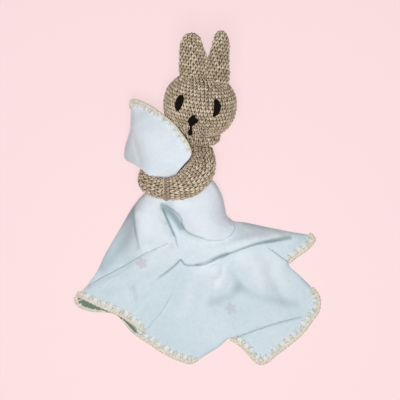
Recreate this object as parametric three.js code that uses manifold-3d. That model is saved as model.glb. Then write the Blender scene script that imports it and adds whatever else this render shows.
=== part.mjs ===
// A comforter toy: a crocheted rabbit with a stuffed head, lying on its back, hugging a muslin square.
// Millimetres, +Z up from the floor, +Y towards the ears, +X to the right as seen from above.
// The arms are sewn together in a ring, and the cloth is pulled by one corner through that ring.
import * as THREE from "three";
import { mergeVertices } from "three/addons/utils/BufferGeometryUtils.js";
import Module from "manifold-3d";

const wasm = await Module();
wasm.setup();

// Clearances
const gap = 0.35; // between neighbouring pieces that lie against each other
const flatCut = 0.5; // how deep a stuffed form is cut flat where it lies on the floor
const blockReach = 2000; // size of the blocks that stand for the floor and for half of space

// Head: a ball worked in rounds, wider than it is high
const headWidth = 85;
const headHeight = 72;
const headSquareness = 2.3; // 2 is an ellipse, more is boxier
const headWall = 3; // crocheted fabric
const headPlace = [0, 108.6]; // centre of the head on the floor plan
const headRise = 25; // degrees that the crown points up from the floor
const headLean = 8; // degrees that the crown leans to the right
const neckOpening = 22; // diameter of the hole that the stuffing went in by
const headTurnClearance = 2.6; // room round the head, so that it can turn with its face on

// Ears: flat, double, not stuffed, sewn side by side across the crown
const earThickness = 5.6;
const earLeftLength = 57.5;
const earRightLength = 60.5;
const earLeftWidth = 29;
const earRightWidth = 27;
const earMeeting = 1.9; // where the ears meet, to the right of the head's middle
const earSeamForward = 10; // the seam lies this far in front of the crown's middle
const earSeamHeight = 30.5; // height of the seam line over the head's centre
const earNotch = 29; // the ears lie side by side from the seam up to here
const earLeftSpread = 4.5; // how far the left ear's tip leans outwards
const earRightSpread = -2;
const earForwardTilt = { left: 12, right: 0 }; // degrees that each ear leans forward at rest
const earBendForward = 50; // degrees that an ear folds forward from rest
const earBendBack = 25;

// Face: flat stitched patches that follow the head
const patchThickness = 1.5;
const eyeLength = 19;
const eyeWidth = 7.6;
const noseSize = 12.4;
const mouthWidth = 3.4;
const mouthLength = 19;

// Torso: a small stuffed bag under the neck
const torsoLength = 62;
const torsoWidth = 50;
const torsoThickness = 36;
const torsoWall = 3;
const torsoSink = 4; // how far the torso's upper end reaches into the neck roll
const torsoYaw = 26; // degrees that its upper end turns to the right
const torsoRise = 5;

// Neck roll: the folded top rounds of the torso, between torso and head
const neckRollDiameter = 45;
const neckRollThickness = 12;

// Arms: stuffed tubes from the shoulders round to the front of the ring, routes chosen by hand
const armWall = 3;
const armRight = {
  route: [[-6, 52, 20], [2, 56, 24], [4, 46, 33], [-0.5, 31, 45], [-12, 18, 53], [-26, 11, 57], [-44, 9.6, 57]],
  radii: [11, 12.5, 15.6, 17.4, 16.4, 13.4, 12.5],
};
const armLeft = {
  route: [
    [-24, 42, 20], [-38, 44, 18], [-51, 39, 18], [-60, 30, 24], [-60.5, 21, 37], [-53, 13.5, 49.5], [-34, 9, 57.5],
  ],
  radii: [9.5, 10, 10.5, 10.6, 11, 12, 13],
};
const limbRoundness = 12; // 2 is a pointed egg, more is a blunter end
const handSeamPlace = -38; // where the hands meet, on the X axis
const handSeamYarn = 2.4; // diameter of the yarn that sews the hands together

// Muslin square, pulled through the ring: spot heights of its upper side, read along its folds
const clothClearance = 1; // room between the cloth and what it is pulled past
const clothBulk = 12; // depth of the flap's gathered layers away from its hem
const hemThickness = 2.4;
const hemCord = 4.6; // diameter of the worked border
const skirtCentre = [-8, -60];
const skirtOutline = [
  [-63, 10], [-75, -2], [-92, -28], [-111, -61], [-121, -82], [-134, -102], [-142, -111], [-143, -118],
  [-135, -125], [-110, -127], [-93, -133], [-77, -153], [-61, -166], [-36, -180], [-10, -188], [8, -179],
  [21, -171], [35, -160], [45, -166], [56, -176], [65, -186], [71, -189], [79, -186], [98, -169],
  [117, -153], [130, -139], [138, -127], [138, -111], [131, -101], [116, -86], [104, -74], [114, -66],
  [125, -58], [133, -48], [132, -41], [128, -39], [108, -36], [78, -30], [55, -25], [38, -24],
  [31, -18], [29, -7], [25, 8], [14, 24], [-10, 30], [-40, 26],
];
const skirtHeights = [
  [-60, 12, 34], [-45, 20, 42], [-30, 12, 46], [-8, 20, 42], [12, 22, 32], [27, 6, 20], [29, -8, 13],
  [-55, -4, 39], [-30, -8, 45], [-5, -4, 45], [14, -2, 37], [31, -18, 9], [-75, -2, 22], [-92, -28, 5],
  [-57, -18, 37], [-76, -30, 17], [-55, -37, 32], [-80, -45, 11], [-60, -52, 24], [-34, -20, 38],
  [-24, -36, 33], [2, -36, 36], [22, -28, 28], [36, -28, 18], [2, -52, 25], [30, -46, 19], [55, -25, 5],
  [78, -30, 4], [108, -35, 3.4], [128, -40, 3], [60, -42, 15], [90, -40, 12], [112, -40, 8],
  [-111, -61, 3.6], [-92, -66, 7], [-108, -84, 6], [-132, -104, 5], [-60, -72, 18], [-85, -88, 12],
  [-30, -80, 13], [10, -82, 13], [50, -66, 12], [80, -56, 10], [104, -74, 5], [-60, -120, 8],
  [-20, -130, 7.5], [20, -120, 8.5], [60, -110, 9], [100, -110, 6], [60, -150, 5], [0, -160, 5],
  [-120, -115, 7], [-90, -128, 7], [-64, -146, 6], [21, -171, 4], [36, -163, 6],
];
const floorHem = 2.4; // height of the upper side where a hem lies on the floor
const skirtFolds = [
  { line: [[-77, -12], [-71, -55]], height: -6, width: 6 },
  { line: [[-60, 0], [-57, -50]], height: 3.5, width: 10 },
  { line: [[-37, -9], [-22, -38], [-20, -52]], height: -5, width: 6 },
  { line: [[4, -2], [8, -30]], height: 5, width: 18 },
  { line: [[-18, -58], [14, -59], [58, -45], [112, -41]], height: 5, width: 8 },
  { line: [[-13, -77], [-18, -141]], height: -2, width: 8 },
  { line: [[6, -76], [8, -110], [-5, -152]], height: 2.5, width: 9 },
  { line: [[32, -66], [36, -100], [21, -141]], height: -2.4, width: 8 },
  { line: [[60, -57], [72, -105], [72, -129]], height: 3, width: 11 },
  { line: [[73, -71], [116, -125]], height: -2.4, width: 8 },
];
// Where one layer of the skirt ends on top of the next: the line that its edge follows, from its low end,
// its height over the lower layer, how far back from the edge it stays raised, and which side of the line
// it is on, 1 for left and -1 for right.
const skirtLayers = [
  {
    line: [[100, -45], [61, -52], [22, -66], [-3, -75], [-18, -74], [-22, -69], [-47, -89]],
    height: 6.5,
    reach: 13,
    raised: -1,
  },
  { line: [[-24, -60], [-30, -41], [-40, -19], [-44, -6]], height: 4, reach: 7, raised: 1 },
  { line: [[-23, -26], [-7, -41], [10, -46], [32, -38], [39, -29]], height: 4, reach: 12, raised: 1 },
  { line: [[112, -82], [93, -66], [76, -52]], height: 4.5, reach: 16, raised: 1 },
  { line: [[114, -135], [76, -147], [28, -165]], height: 4.2, reach: 20, raised: -1 },
];
const layerStart = 0.4; // share of such a line over which the step grows to its full height
const layerDip = 0.35; // how far the lower layer is pressed down beside it, as a share of the step
const flapCentre = [-48, 62];
const flapOutline = [
  [-9, 50], [-18, 66], [-27, 77.5], [-45, 99], [-62, 113], [-77, 120.5], [-81.3, 110], [-81.7, 80], [-85, 71],
  [-89.5, 57.5], [-84.5, 46], [-68, 35], [-60, 28], [-52, 19], [-34, 14], [-22, 22], [-13, 38],
];
const flapHeights = [
  [-79, 118, 20], [-62, 111, 36], [-45, 97, 56], [-27, 76, 65], [-18, 65, 65], [-11, 54, 60], [-15, 40, 54],
  [-24, 24, 47], [-32, 14, 43], [-46, 12, 43], [-54, 24, 48], [-66, 34, 42], [-84, 47, 18], [-88, 57, 14],
  [-86, 68, 15], [-81, 82, 22], [-81, 104, 20], [-62, 82, 53], [-42, 62, 58], [-34, 44, 54], [-56, 44, 54],
  [-70, 62, 44], [-68, 98, 40], [-48, 80, 59], [-62, 34, 48], [-74, 88, 41], [-76, 72, 36],
];
const flapFolds = [
  { line: [[-82, 78], [-80, 66], [-66, 40]], height: -3, width: 5 },
  { line: [[-70, 100], [-46, 54]], height: 2, width: 14 },
];
// The stretches of hem that lie on the outside, by the numbers of their first and last outline points
const hemRuns = {
  cloth_border_top_corner: { outline: "flap", first: 0, last: 5.5 },
  cloth_border_left: { outline: "skirt", first: 6, last: 11.3 },
  cloth_border_front_left: { outline: "skirt", first: 11.6, last: 15.4 },
  cloth_border_front_corner: { outline: "skirt", first: 17.2, last: 29.2 },
  cloth_border_right_corner: { outline: "skirt", first: 30.6, last: 35.2 },
};

const colours = { yarn: 0xb89c7b, thread: 0x17100b, muslin: 0xdde7ec, border: 0xddd3bd, filling: 0xf4f1ea };

const degrees = THREE.MathUtils.degToRad;
const floorBox = new THREE.BoxGeometry(blockReach, blockReach, blockReach).translate(0, 0, -blockReach / 2);

// A closed geometry as a solid that can be joined and cut.
function solidOf(geometry) {
  const bare = geometry.clone();
  bare.deleteAttribute("normal");
  bare.deleteAttribute("uv");
  const merged = mergeVertices(bare, 1e-4);
  return new wasm.Manifold(
    new wasm.Mesh({
      numProp: 3,
      vertProperties: new Float32Array(merged.attributes.position.array),
      triVerts: new Uint32Array(merged.index.array),
    }),
  );
}

// The largest body of a solid, without the crumbs that a cut leaves.
function mainBody(solid) {
  return solid.decompose().reduce((most, body) => (body.volume() > most.volume() ? body : most));
}

function meshOf(name, solid, colour, roughness = 0.95) {
  const cut = mainBody(solid).getMesh();
  const geometry = new THREE.BufferGeometry();
  geometry.setAttribute("position", new THREE.BufferAttribute(new Float32Array(cut.vertProperties), 3));
  geometry.setIndex(new THREE.BufferAttribute(new Uint32Array(cut.triVerts), 1));
  geometry.computeVertexNormals();
  const material = new THREE.MeshStandardMaterial({ color: colour, roughness, metalness: 0 });
  const mesh = new THREE.Mesh(geometry, material);
  mesh.name = name;
  return mesh;
}

// A stuffed ball: a superellipse turned about its own axis, which is +Z.
function ball(width, height, squareness, rounds, sides) {
  const profile = [];
  for (let i = 0; i <= rounds; i += 1) {
    const angle = Math.PI * (i / rounds - 0.5);
    const across = Math.max(Math.cos(angle), 0) ** (2 / squareness);
    const along = Math.sign(Math.sin(angle)) * Math.abs(Math.sin(angle)) ** (2 / squareness);
    profile.push(new THREE.Vector2(i % rounds ? (width / 2) * across : 0, (height / 2) * along));
  }
  return new THREE.LatheGeometry(profile, sides).rotateX(Math.PI / 2);
}

// The matrix of a frame with its +Z along a direction that rises from the floor plan, its back down.
function lyingFrame(place, yaw, rise) {
  const turn = new THREE.Euler(-degrees(90 - rise), 0, -degrees(yaw), "ZXY");
  return new THREE.Matrix4().makeRotationFromEuler(turn).setPosition(place[0], place[1], 0);
}

// The same frame, lifted until the form in it dips below the floor by the depth of its flat cut.
function settledFrame(frame, form) {
  const lying = form.clone().applyMatrix4(frame);
  lying.computeBoundingBox();
  const lift = -lying.boundingBox.min.z - flatCut;
  return frame.clone().premultiply(new THREE.Matrix4().makeTranslation(0, 0, lift));
}

// Head
const headForm = (grow, rounds = 18, sides = 34) =>
  ball(headWidth + 2 * grow, headHeight + 2 * grow, headSquareness, rounds, sides);
const headFrame = settledFrame(lyingFrame(headPlace, headLean, headRise), headForm(0));
const headFloor = solidOf(floorBox).transform(headFrame.clone().invert().elements);
const headInWorld = (grow, ...counts) => solidOf(headForm(grow, ...counts)).transform(headFrame.elements);

// The groove in the crown that both ears swing in: a round slot along the seam, open over their range.
const earRoot = earThickness / 2;
const earBase = earLeftWidth + earRightWidth;
const earMiddle = earMeeting + (earRightWidth - earLeftWidth) / 2;

function earGroove(grow) {
  const radius = earRoot + gap + grow;
  const reach = 40;
  const front = degrees(90 + earBendForward + earForwardTilt.left);
  const back = degrees(90 - earBendBack);
  const outline = new THREE.Shape();
  const edge = (angle, side) =>
    new THREE.Vector2(
      reach * Math.cos(angle) + side * radius * Math.sin(angle),
      reach * Math.sin(angle) - side * radius * Math.cos(angle),
    );
  const backEdge = edge(back, 1);
  const frontEdge = edge(front, -1);
  outline.absarc(0, 0, radius, front + Math.PI / 2, back + 1.5 * Math.PI, false);
  outline.lineTo(backEdge.x, backEdge.y);
  outline.lineTo(frontEdge.x, frontEdge.y);
  const length = earBase + 2 * (gap + grow);
  const slot = new THREE.ExtrudeGeometry(outline, { depth: length, bevelEnabled: false, curveSegments: 10 });
  // The profile's x runs to the back of the head, its y up, and the slot runs across the crown.
  slot.applyMatrix4(
    new THREE.Matrix4().makeBasis(
      new THREE.Vector3(0, 1, 0),
      new THREE.Vector3(0, 0, 1),
      new THREE.Vector3(1, 0, 0),
    ),
  );
  return solidOf(slot.translate(earMiddle - length / 2, -earSeamForward, earSeamHeight));
}

function neckHole(diameter) {
  const hole = new THREE.CylinderGeometry(diameter / 2, diameter / 2, headHeight, 24).rotateX(Math.PI / 2);
  return solidOf(hole.translate(0, 0, -headHeight / 2));
}

function headCover() {
  const cavity = solidOf(headForm(-headWall, 12, 24)).subtract(earGroove(headWall));
  return solidOf(headForm(0))
    .subtract(earGroove(0))
    .subtract(cavity)
    .subtract(neckHole(neckOpening))
    .subtract(headFloor);
}

function headStuffing() {
  return solidOf(headForm(-headWall - gap, 12, 24)).subtract(earGroove(headWall + gap));
}

// An ear: its flat outline, one edge on the seam line, rounded all round to half its thickness.
function ear(side, length, width, spread) {
  const inner = earMeeting + side * (earRoot + gap / 2);
  const outer = earMeeting + side * (width - earRoot);
  const middle = (inner + outer) / 2;
  const top = length - earRoot;
  const outline = new THREE.Shape();
  outline.moveTo(inner, 0);
  outline.lineTo(inner, earNotch);
  const tip = side * spread;
  outline.bezierCurveTo(inner + side * 2.5, earNotch + 12, inner + tip + side, top, middle + tip, top);
  outline.bezierCurveTo(outer + tip, top, outer + tip, earNotch + 14, outer + tip / 2, earNotch);
  outline.lineTo(outer, 0);
  const flat = new THREE.ExtrudeGeometry(outline, {
    depth: 0.4,
    bevelThickness: earRoot - 0.2,
    bevelSize: earRoot - 0.2,
    bevelSegments: 3,
    curveSegments: 7,
  });
  flat.translate(0, 0, -0.2).rotateX(Math.PI / 2);
  return solidOf(flat);
}

function placedEar(name, side, length, width, spread, tilt) {
  const mesh = meshOf(name, ear(side, length, width, spread), colours.yarn);
  mesh.position.set(0, -earSeamForward, earSeamHeight);
  mesh.rotation.x = degrees(tilt);
  return mesh;
}

// A face patch: its outline pushed out from the head's middle and cut to a skin that follows the head.
function facePatch(outline, azimuth, latitude, spin) {
  const prism = new THREE.ExtrudeGeometry(outline, { depth: headWidth, bevelEnabled: false, curveSegments: 8 });
  prism.rotateZ(degrees(spin)).translate(0, 0, headHeight / 5);
  prism.rotateX(Math.PI / 2 - degrees(latitude)).rotateZ(degrees(azimuth));
  const outside = solidOf(headForm(gap + patchThickness, 30, 56));
  return outside.intersect(solidOf(prism)).subtract(solidOf(headForm(gap, 30, 56)));
}

function leafOutline(length, width) {
  const outline = new THREE.Shape();
  outline.moveTo(0, -length / 2);
  outline.bezierCurveTo(width * 0.75, -length / 4, width * 0.62, length / 4, 0, length / 2);
  outline.bezierCurveTo(-width * 0.62, length / 4, -width * 0.75, -length / 4, 0, -length / 2);
  return outline;
}

function halfMoonOutline(length, width) {
  const outline = new THREE.Shape();
  outline.moveTo(-width / 2, -length / 2);
  outline.bezierCurveTo(width * 0.7, -length * 0.35, width * 0.75, length * 0.3, -width * 0.1, length / 2);
  outline.lineTo(-width / 2, length * 0.42);
  return outline;
}

function noseOutline(size) {
  const outline = new THREE.Shape();
  outline.moveTo(-size * 0.14, -size / 2);
  outline.lineTo(size * 0.1, -size / 2);
  outline.quadraticCurveTo(size * 0.2, -size * 0.25, size / 2, -size * 0.05);
  outline.quadraticCurveTo(size * 0.4, size * 0.12, size * 0.28, size * 0.14);
  outline.quadraticCurveTo(size * 0.1, size * 0.5, -size * 0.05, size / 2);
  outline.quadraticCurveTo(-size * 0.4, size * 0.3, -size / 2, -size * 0.05);
  return outline;
}

function mouthOutline(width, length) {
  const outline = new THREE.Shape();
  outline.moveTo(-width * 0.7, -length / 2);
  outline.lineTo(width * 0.6, -length / 2);
  outline.lineTo(width * 0.45, length / 2);
  outline.lineTo(-width * 0.45, length / 2);
  return outline;
}

const head = new THREE.Group();
head.applyMatrix4(headFrame);
head.add(meshOf("head_cover", headCover(), colours.yarn));
head.add(meshOf("head_stuffing", headStuffing(), colours.filling));
head.add(placedEar("ear_left", -1, earLeftLength, earLeftWidth, earLeftSpread, earForwardTilt.left));
head.add(placedEar("ear_right", 1, earRightLength, earRightWidth, earRightSpread, earForwardTilt.right));
head.add(meshOf("eye_left", facePatch(leafOutline(eyeLength, eyeWidth), -32.5, 10.5, -6), colours.thread));
head.add(meshOf("eye_right", facePatch(halfMoonOutline(eyeLength, eyeWidth), 28, 12, 0), colours.thread));
head.add(meshOf("nose", facePatch(noseOutline(noseSize), -6.6, -9.5, 0), colours.thread));
head.add(meshOf("mouth_stitch", facePatch(mouthOutline(mouthWidth, mouthLength), -11.5, -33, 0), colours.thread));

// Neck roll: a ring on the head's own axis, seated against the head, so that the head turns on it
const rollSection = neckRollThickness / 2;
const rollContact = neckRollDiameter / 2 - rollSection;
const rollSeat = (headHeight / 2) * (1 - (rollContact / (headWidth / 2)) ** headSquareness) ** (1 / headSquareness);
const rollDrop = rollSeat + rollSection + gap; // from the head's centre down to the middle of the roll

function neckRoll(grow) {
  const ring = new THREE.Shape();
  ring.absarc(rollContact, 0, rollSection + grow, 0, 2 * Math.PI, false);
  const profile = ring.getPoints(5);
  profile[profile.length - 1] = profile[0].clone();
  const turned = new THREE.LatheGeometry(profile, 24).rotateX(Math.PI / 2);
  return solidOf(turned.translate(0, 0, -rollDrop)).transform(headFrame.elements);
}

// Torso: hung under the neck roll, its upper end reaching into it
const torsoForm = (grow, rounds = 14, sides = 24) =>
  ball(torsoWidth + 2 * grow, torsoLength + 2 * grow, 2.2, rounds, sides).scale(
    1,
    (torsoThickness + 2 * grow) / (torsoWidth + 2 * grow),
    1,
  );

function torsoPlace() {
  const top = new THREE.Vector3(0, 0, -rollDrop).applyMatrix4(headFrame);
  const lying = lyingFrame([0, 0], torsoYaw, torsoRise);
  const along = new THREE.Vector3(0, 0, torsoLength / 2 - torsoSink).applyMatrix4(lying);
  return [top.x - along.x, top.y - along.y];
}

const torsoFrame = settledFrame(lyingFrame(torsoPlace(), torsoYaw, torsoRise), torsoForm(0));
const torsoInWorld = (grow, ...counts) => solidOf(torsoForm(grow, ...counts)).transform(torsoFrame.elements);
const floor = solidOf(floorBox);

function torsoNeckHole() {
  const radius = neckOpening / 2 - torsoWall;
  const hole = new THREE.CylinderGeometry(radius, radius, torsoLength, 20).rotateX(Math.PI / 2);
  return solidOf(hole.translate(0, 0, torsoLength / 2)).transform(torsoFrame.elements);
}

function torsoCover() {
  return torsoInWorld(0)
    .subtract(torsoInWorld(-torsoWall, 10, 20))
    .subtract(torsoNeckHole())
    .subtract(neckRoll(gap))
    .subtract(headInWorld(headTurnClearance))
    .subtract(floor);
}

const torsoStuffing = () => torsoInWorld(-torsoWall - gap, 10, 20).subtract(neckRoll(gap));

// A stuffed limb: a ball drawn out along a route, its thickness following the radii given for the route.
function limbForm({ route, radii }, grow, rings = 18, sides = 16) {
  const stations = route.map((point) => new THREE.Vector3(...point));
  const path = new THREE.CatmullRomCurve3(stations, false, "centripetal");
  const form = new THREE.SphereGeometry(1, sides, rings);
  const place = form.attributes.position;
  const across = new THREE.Vector3(0, 0, 1);
  let ring = -1;
  let middle = new THREE.Vector3();
  let tangent = new THREE.Vector3();
  let side = new THREE.Vector3();
  for (let i = 0; i < place.count; i += 1) {
    const height = place.getY(i);
    const along = (1 - height) / 2;
    if (Math.floor(i / (sides + 1)) !== ring) {
      ring = Math.floor(i / (sides + 1));
      middle = path.getPointAt(along);
      tangent = path.getTangentAt(along);
      across.addScaledVector(tangent, -across.dot(tangent)).normalize();
      side = new THREE.Vector3().crossVectors(tangent, across);
      middle.addScaledVector(tangent, grow * (2 * along - 1));
    }
    const spot = Math.min(along * (radii.length - 1), radii.length - 1.0001);
    const least = Math.floor(spot);
    const radius = radii[least] + (radii[least + 1] - radii[least]) * (spot - least) + grow;
    const rounding = Math.sqrt(1 - Math.abs(height) ** limbRoundness);
    const level = Math.sqrt(Math.max(1 - height * height, 1e-12));
    const x = (place.getX(i) / level) * radius * rounding;
    const z = (place.getZ(i) / level) * radius * rounding;
    place.setXYZ(
      i,
      middle.x + across.x * x + side.x * z,
      middle.y + across.y * x + side.y * z,
      middle.z + across.z * x + side.z * z,
    );
  }
  return solidOf(form);
}

// What the arms are cut by: the larger forms that they are sewn to
const armNeighbours = (clear) =>
  torsoInWorld(clear).add(neckRoll(clear)).add(headInWorld(headTurnClearance)).add(floor);
const leftHandSide = handDivide(-1);
const rightHandSide = handDivide(1);

// Half of space on one side of the plane where the two hands meet.
function handDivide(side) {
  const half = new THREE.BoxGeometry(blockReach, blockReach, blockReach);
  return solidOf(half.translate(handSeamPlace + side * (blockReach / 2 - gap / 2), 0, 0));
}

const armCover = (arm, otherSide) =>
  limbForm(arm, 0).subtract(limbForm(arm, -armWall, 14, 12)).subtract(armNeighbours(gap)).subtract(otherSide);
const armStuffing = (arm, otherSide) =>
  limbForm(arm, -armWall - gap, 14, 12).subtract(armNeighbours(2 * gap)).subtract(otherSide);

// Yarn whipped round the place where the hands meet
function handSeam() {
  const right = new THREE.Vector3(...armRight.route.at(-1));
  const left = new THREE.Vector3(...armLeft.route.at(-1));
  const radius = (armLeft.radii.at(-1) + armRight.radii.at(-1)) / 2 - handSeamYarn / 2;
  const ring = new THREE.TorusGeometry(radius, handSeamYarn / 2, 6, 22).rotateY(Math.PI / 2);
  return solidOf(ring.translate(handSeamPlace, (right.y + left.y) / 2, (right.z + left.z) / 2))
    .subtract(limbForm(armRight, gap))
    .subtract(limbForm(armLeft, gap));
}

// How far a point is from a line of straight stretches, on which side (1 is left), and its share of the way.
function besideLine(line, x, y) {
  let nearest = { away: Infinity, side: 1, share: 0 };
  for (let i = 1; i < line.length; i += 1) {
    const [[fromX, fromY], [toX, toY]] = [line[i - 1], line[i]];
    const length = Math.hypot(toX - fromX, toY - fromY);
    const alongX = (toX - fromX) / length;
    const alongY = (toY - fromY) / length;
    const along = THREE.MathUtils.clamp((x - fromX) * alongX + (y - fromY) * alongY, 0, length);
    const away = Math.hypot(x - fromX - along * alongX, y - fromY - along * alongY);
    if (away < nearest.away) {
      const side = Math.sign(alongX * (y - fromY) - alongY * (x - fromX));
      nearest = { away, side, share: (i - 1 + along / length) / (line.length - 1) };
    }
  }
  return nearest;
}

// The height of the cloth's upper side at a point: the spot heights, blended by nearness, with its folds
// and with the steps where one layer ends on the next.
function clothHeight(x, y, { spots, folds, layers }) {
  let sum = 0;
  let weights = 0;
  for (const [spotX, spotY, height] of spots) {
    const weight = 1 / (Math.hypot(x - spotX, y - spotY) + 6) ** 3.5;
    sum += weight * height;
    weights += weight;
  }
  let level = sum / weights;
  for (const { line, height, width } of folds) {
    level += height * Math.exp(-((besideLine(line, x, y).away / width) ** 2));
  }
  for (const { line, height, reach, raised } of layers) {
    const { away, side, share } = besideLine(line, x, y);
    const step = height * THREE.MathUtils.smoothstep(share, 0, layerStart);
    level += side === raised ? step * Math.exp(-away / reach) : -layerDip * step * Math.exp((-2 * away) / reach);
  }
  return level;
}

const outlineCurve = (points) =>
  new THREE.CatmullRomCurve3(points.map(([x, y]) => new THREE.Vector3(x, y, 0)), true, "centripetal");

// The place of a numbered point on an outline, moved inwards; whole numbers are the outline's own points.
function onOutline(points, number, inwards = 0) {
  const curve = outlineCurve(points);
  const share = (number / points.length + 1) % 1;
  const tangent = curve.getTangent(share);
  return curve.getPoint(share).add(new THREE.Vector3(-tangent.y, tangent.x, 0).multiplyScalar(inwards));
}

// A lump of gathered cloth: rings that shrink from its outline to its middle, on its upper and lower side.
// Where the worked border runs along the outline, the cloth ends inside it, and the rim has more points.
function clothLump(name, upperRings, lowerRings) {
  const { outline, centre, onFloor } = cloths[name];
  const runs = Object.values(hemRuns).filter((run) => run.outline === name);
  const rim = [];
  for (let number = 0; number < outline.length; number += 0.5) {
    const inHem = runs.some((run) => number > run.first - 1 && number < run.last + 1);
    if (inHem) {
      rim.push(onOutline(outline, number, hemCord / 2 + 2 * gap));
    } else if (Number.isInteger(number)) {
      rim.push(onOutline(outline, number));
    }
  }
  const count = rim.length;
  const vertices = [];
  const faces = [];
  const middles = {};
  const place = (upper, ring, i) => {
    const { start, rings } = middles[upper];
    return start + ring * count + (ring === rings ? 0 : i % count);
  };
  for (const upper of [true, false]) {
    const rings = upper ? upperRings : lowerRings;
    middles[upper] = { start: vertices.length / 3, rings };
    for (let ring = 0; ring <= rings; ring += 1) {
      const share = 1 - ring / rings;
      for (const edge of ring === rings ? [rim[0]] : rim) {
        const x = centre[0] + (edge.x - centre[0]) * share;
        const y = centre[1] + (edge.y - centre[1]) * share;
        const top = Math.max(clothHeight(x, y, cloths[name]), hemThickness);
        const depth = hemThickness + clothBulk * (1 - share ** 4);
        const bottom = onFloor ? 0 : Math.max(top - depth, 0);
        vertices.push(x, y, upper ? top : bottom);
      }
    }
    for (let ring = 0; ring < rings; ring += 1) {
      for (let i = 0; i < count; i += 1) {
        const [a, b] = upper ? [i, i + 1] : [i + 1, i];
        faces.push(place(upper, ring, a), place(upper, ring, b), place(upper, ring + 1, b));
        if (ring < rings - 1) {
          faces.push(place(upper, ring, a), place(upper, ring + 1, b), place(upper, ring + 1, a));
        }
      }
    }
  }
  for (let i = 0; i < count; i += 1) {
    faces.push(place(false, 0, i), place(false, 0, i + 1), place(true, 0, i + 1));
    faces.push(place(false, 0, i), place(true, 0, i + 1), place(true, 0, i));
  }
  const geometry = new THREE.BufferGeometry();
  geometry.setAttribute("position", new THREE.Float32BufferAttribute(vertices, 3));
  geometry.setIndex(faces);
  return solidOf(geometry);
}

// Every hem point of the skirt's outline lies on the floor, so it joins the spot heights.
const skirtSpots = [...skirtHeights, ...skirtOutline.slice(4, 36).map(([x, y]) => [x, y, floorHem])];
const cloths = {
  skirt: {
    outline: skirtOutline,
    centre: skirtCentre,
    spots: skirtSpots,
    folds: skirtFolds,
    layers: skirtLayers,
    onFloor: true,
  },
  flap: {
    outline: flapOutline,
    centre: flapCentre,
    spots: flapHeights,
    folds: flapFolds,
    layers: [],
    onFloor: false,
  },
};

// The lowest that the border may pass over the head at a point, or the floor where it passes beside it.
function overHead(x, y) {
  const centre = new THREE.Vector3().setFromMatrixPosition(headFrame);
  const reach = headWidth / 2 + headTurnClearance + hemCord / 2;
  const away = Math.hypot(x - centre.x, y - centre.y);
  return away < reach ? centre.z + Math.sqrt(reach ** 2 - away ** 2) : 0;
}

// A run of the border: a cord along the outline, level with the cloth's edge.
function hemRun({ outline, first, last }) {
  const cloth = cloths[outline];
  const steps = Math.ceil((last - first) * 1.5) + 2;
  const points = [];
  for (let i = 0; i <= steps; i += 1) {
    const point = onOutline(cloth.outline, first + ((last - first) * i) / steps);
    const level = clothHeight(point.x, point.y, cloth) - hemThickness / 2;
    points.push(point.setZ(Math.max(level, hemCord / 2 + gap, overHead(point.x, point.y))));
  }
  const section = new THREE.Shape().absarc(0, 0, hemCord / 2, 0, 2 * Math.PI, false);
  const extrudePath = new THREE.CatmullRomCurve3(points, false, "centripetal");
  const options = { extrudePath, steps: steps * 2, curveSegments: 4, bevelEnabled: false };
  return solidOf(new THREE.ExtrudeGeometry(section, options));
}

// The cloth lies loosely round what it is pulled past.
function muslinCloth() {
  return clothLump("skirt", 9, 1)
    .add(clothLump("flap", 5, 3))
    .subtract(torsoInWorld(clothClearance, 10, 18))
    .subtract(neckRoll(clothClearance))
    .subtract(headInWorld(headTurnClearance, 14, 26))
    .subtract(limbForm(armLeft, clothClearance, 14, 14))
    .subtract(limbForm(armRight, clothClearance, 14, 14));
}

const hug = new THREE.Group();
hug.add(meshOf("neck_roll", neckRoll(0), colours.yarn));
hug.add(meshOf("torso_cover", torsoCover(), colours.yarn));
hug.add(meshOf("torso_stuffing", torsoStuffing(), colours.filling));
hug.add(meshOf("arm_left_cover", armCover(armLeft, rightHandSide), colours.yarn));
hug.add(meshOf("arm_left_stuffing", armStuffing(armLeft, rightHandSide), colours.filling));
hug.add(meshOf("arm_right_cover", armCover(armRight, leftHandSide), colours.yarn));
hug.add(meshOf("arm_right_stuffing", armStuffing(armRight, leftHandSide), colours.filling));
hug.add(meshOf("hand_seam", handSeam(), colours.yarn));
hug.add(meshOf("muslin_cloth", muslinCloth(), colours.muslin));
for (const [name, run] of Object.entries(hemRuns)) {
  hug.add(meshOf(name, hemRun(run), colours.border));
}

const rabbit = new THREE.Group();
rabbit.add(head, hug);

// The origin is the middle of the floor area that the toy covers.
const reach = new THREE.Box3().setFromObject(rabbit, true);
const middle = reach.getCenter(new THREE.Vector3());
rabbit.position.set(-middle.x, -middle.y, -reach.min.z);

export default rabbit;
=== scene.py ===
import math

import bpy
import numpy as np
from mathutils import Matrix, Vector, noise
from mathutils.geometry import delaunay_2d_cdt


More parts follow.
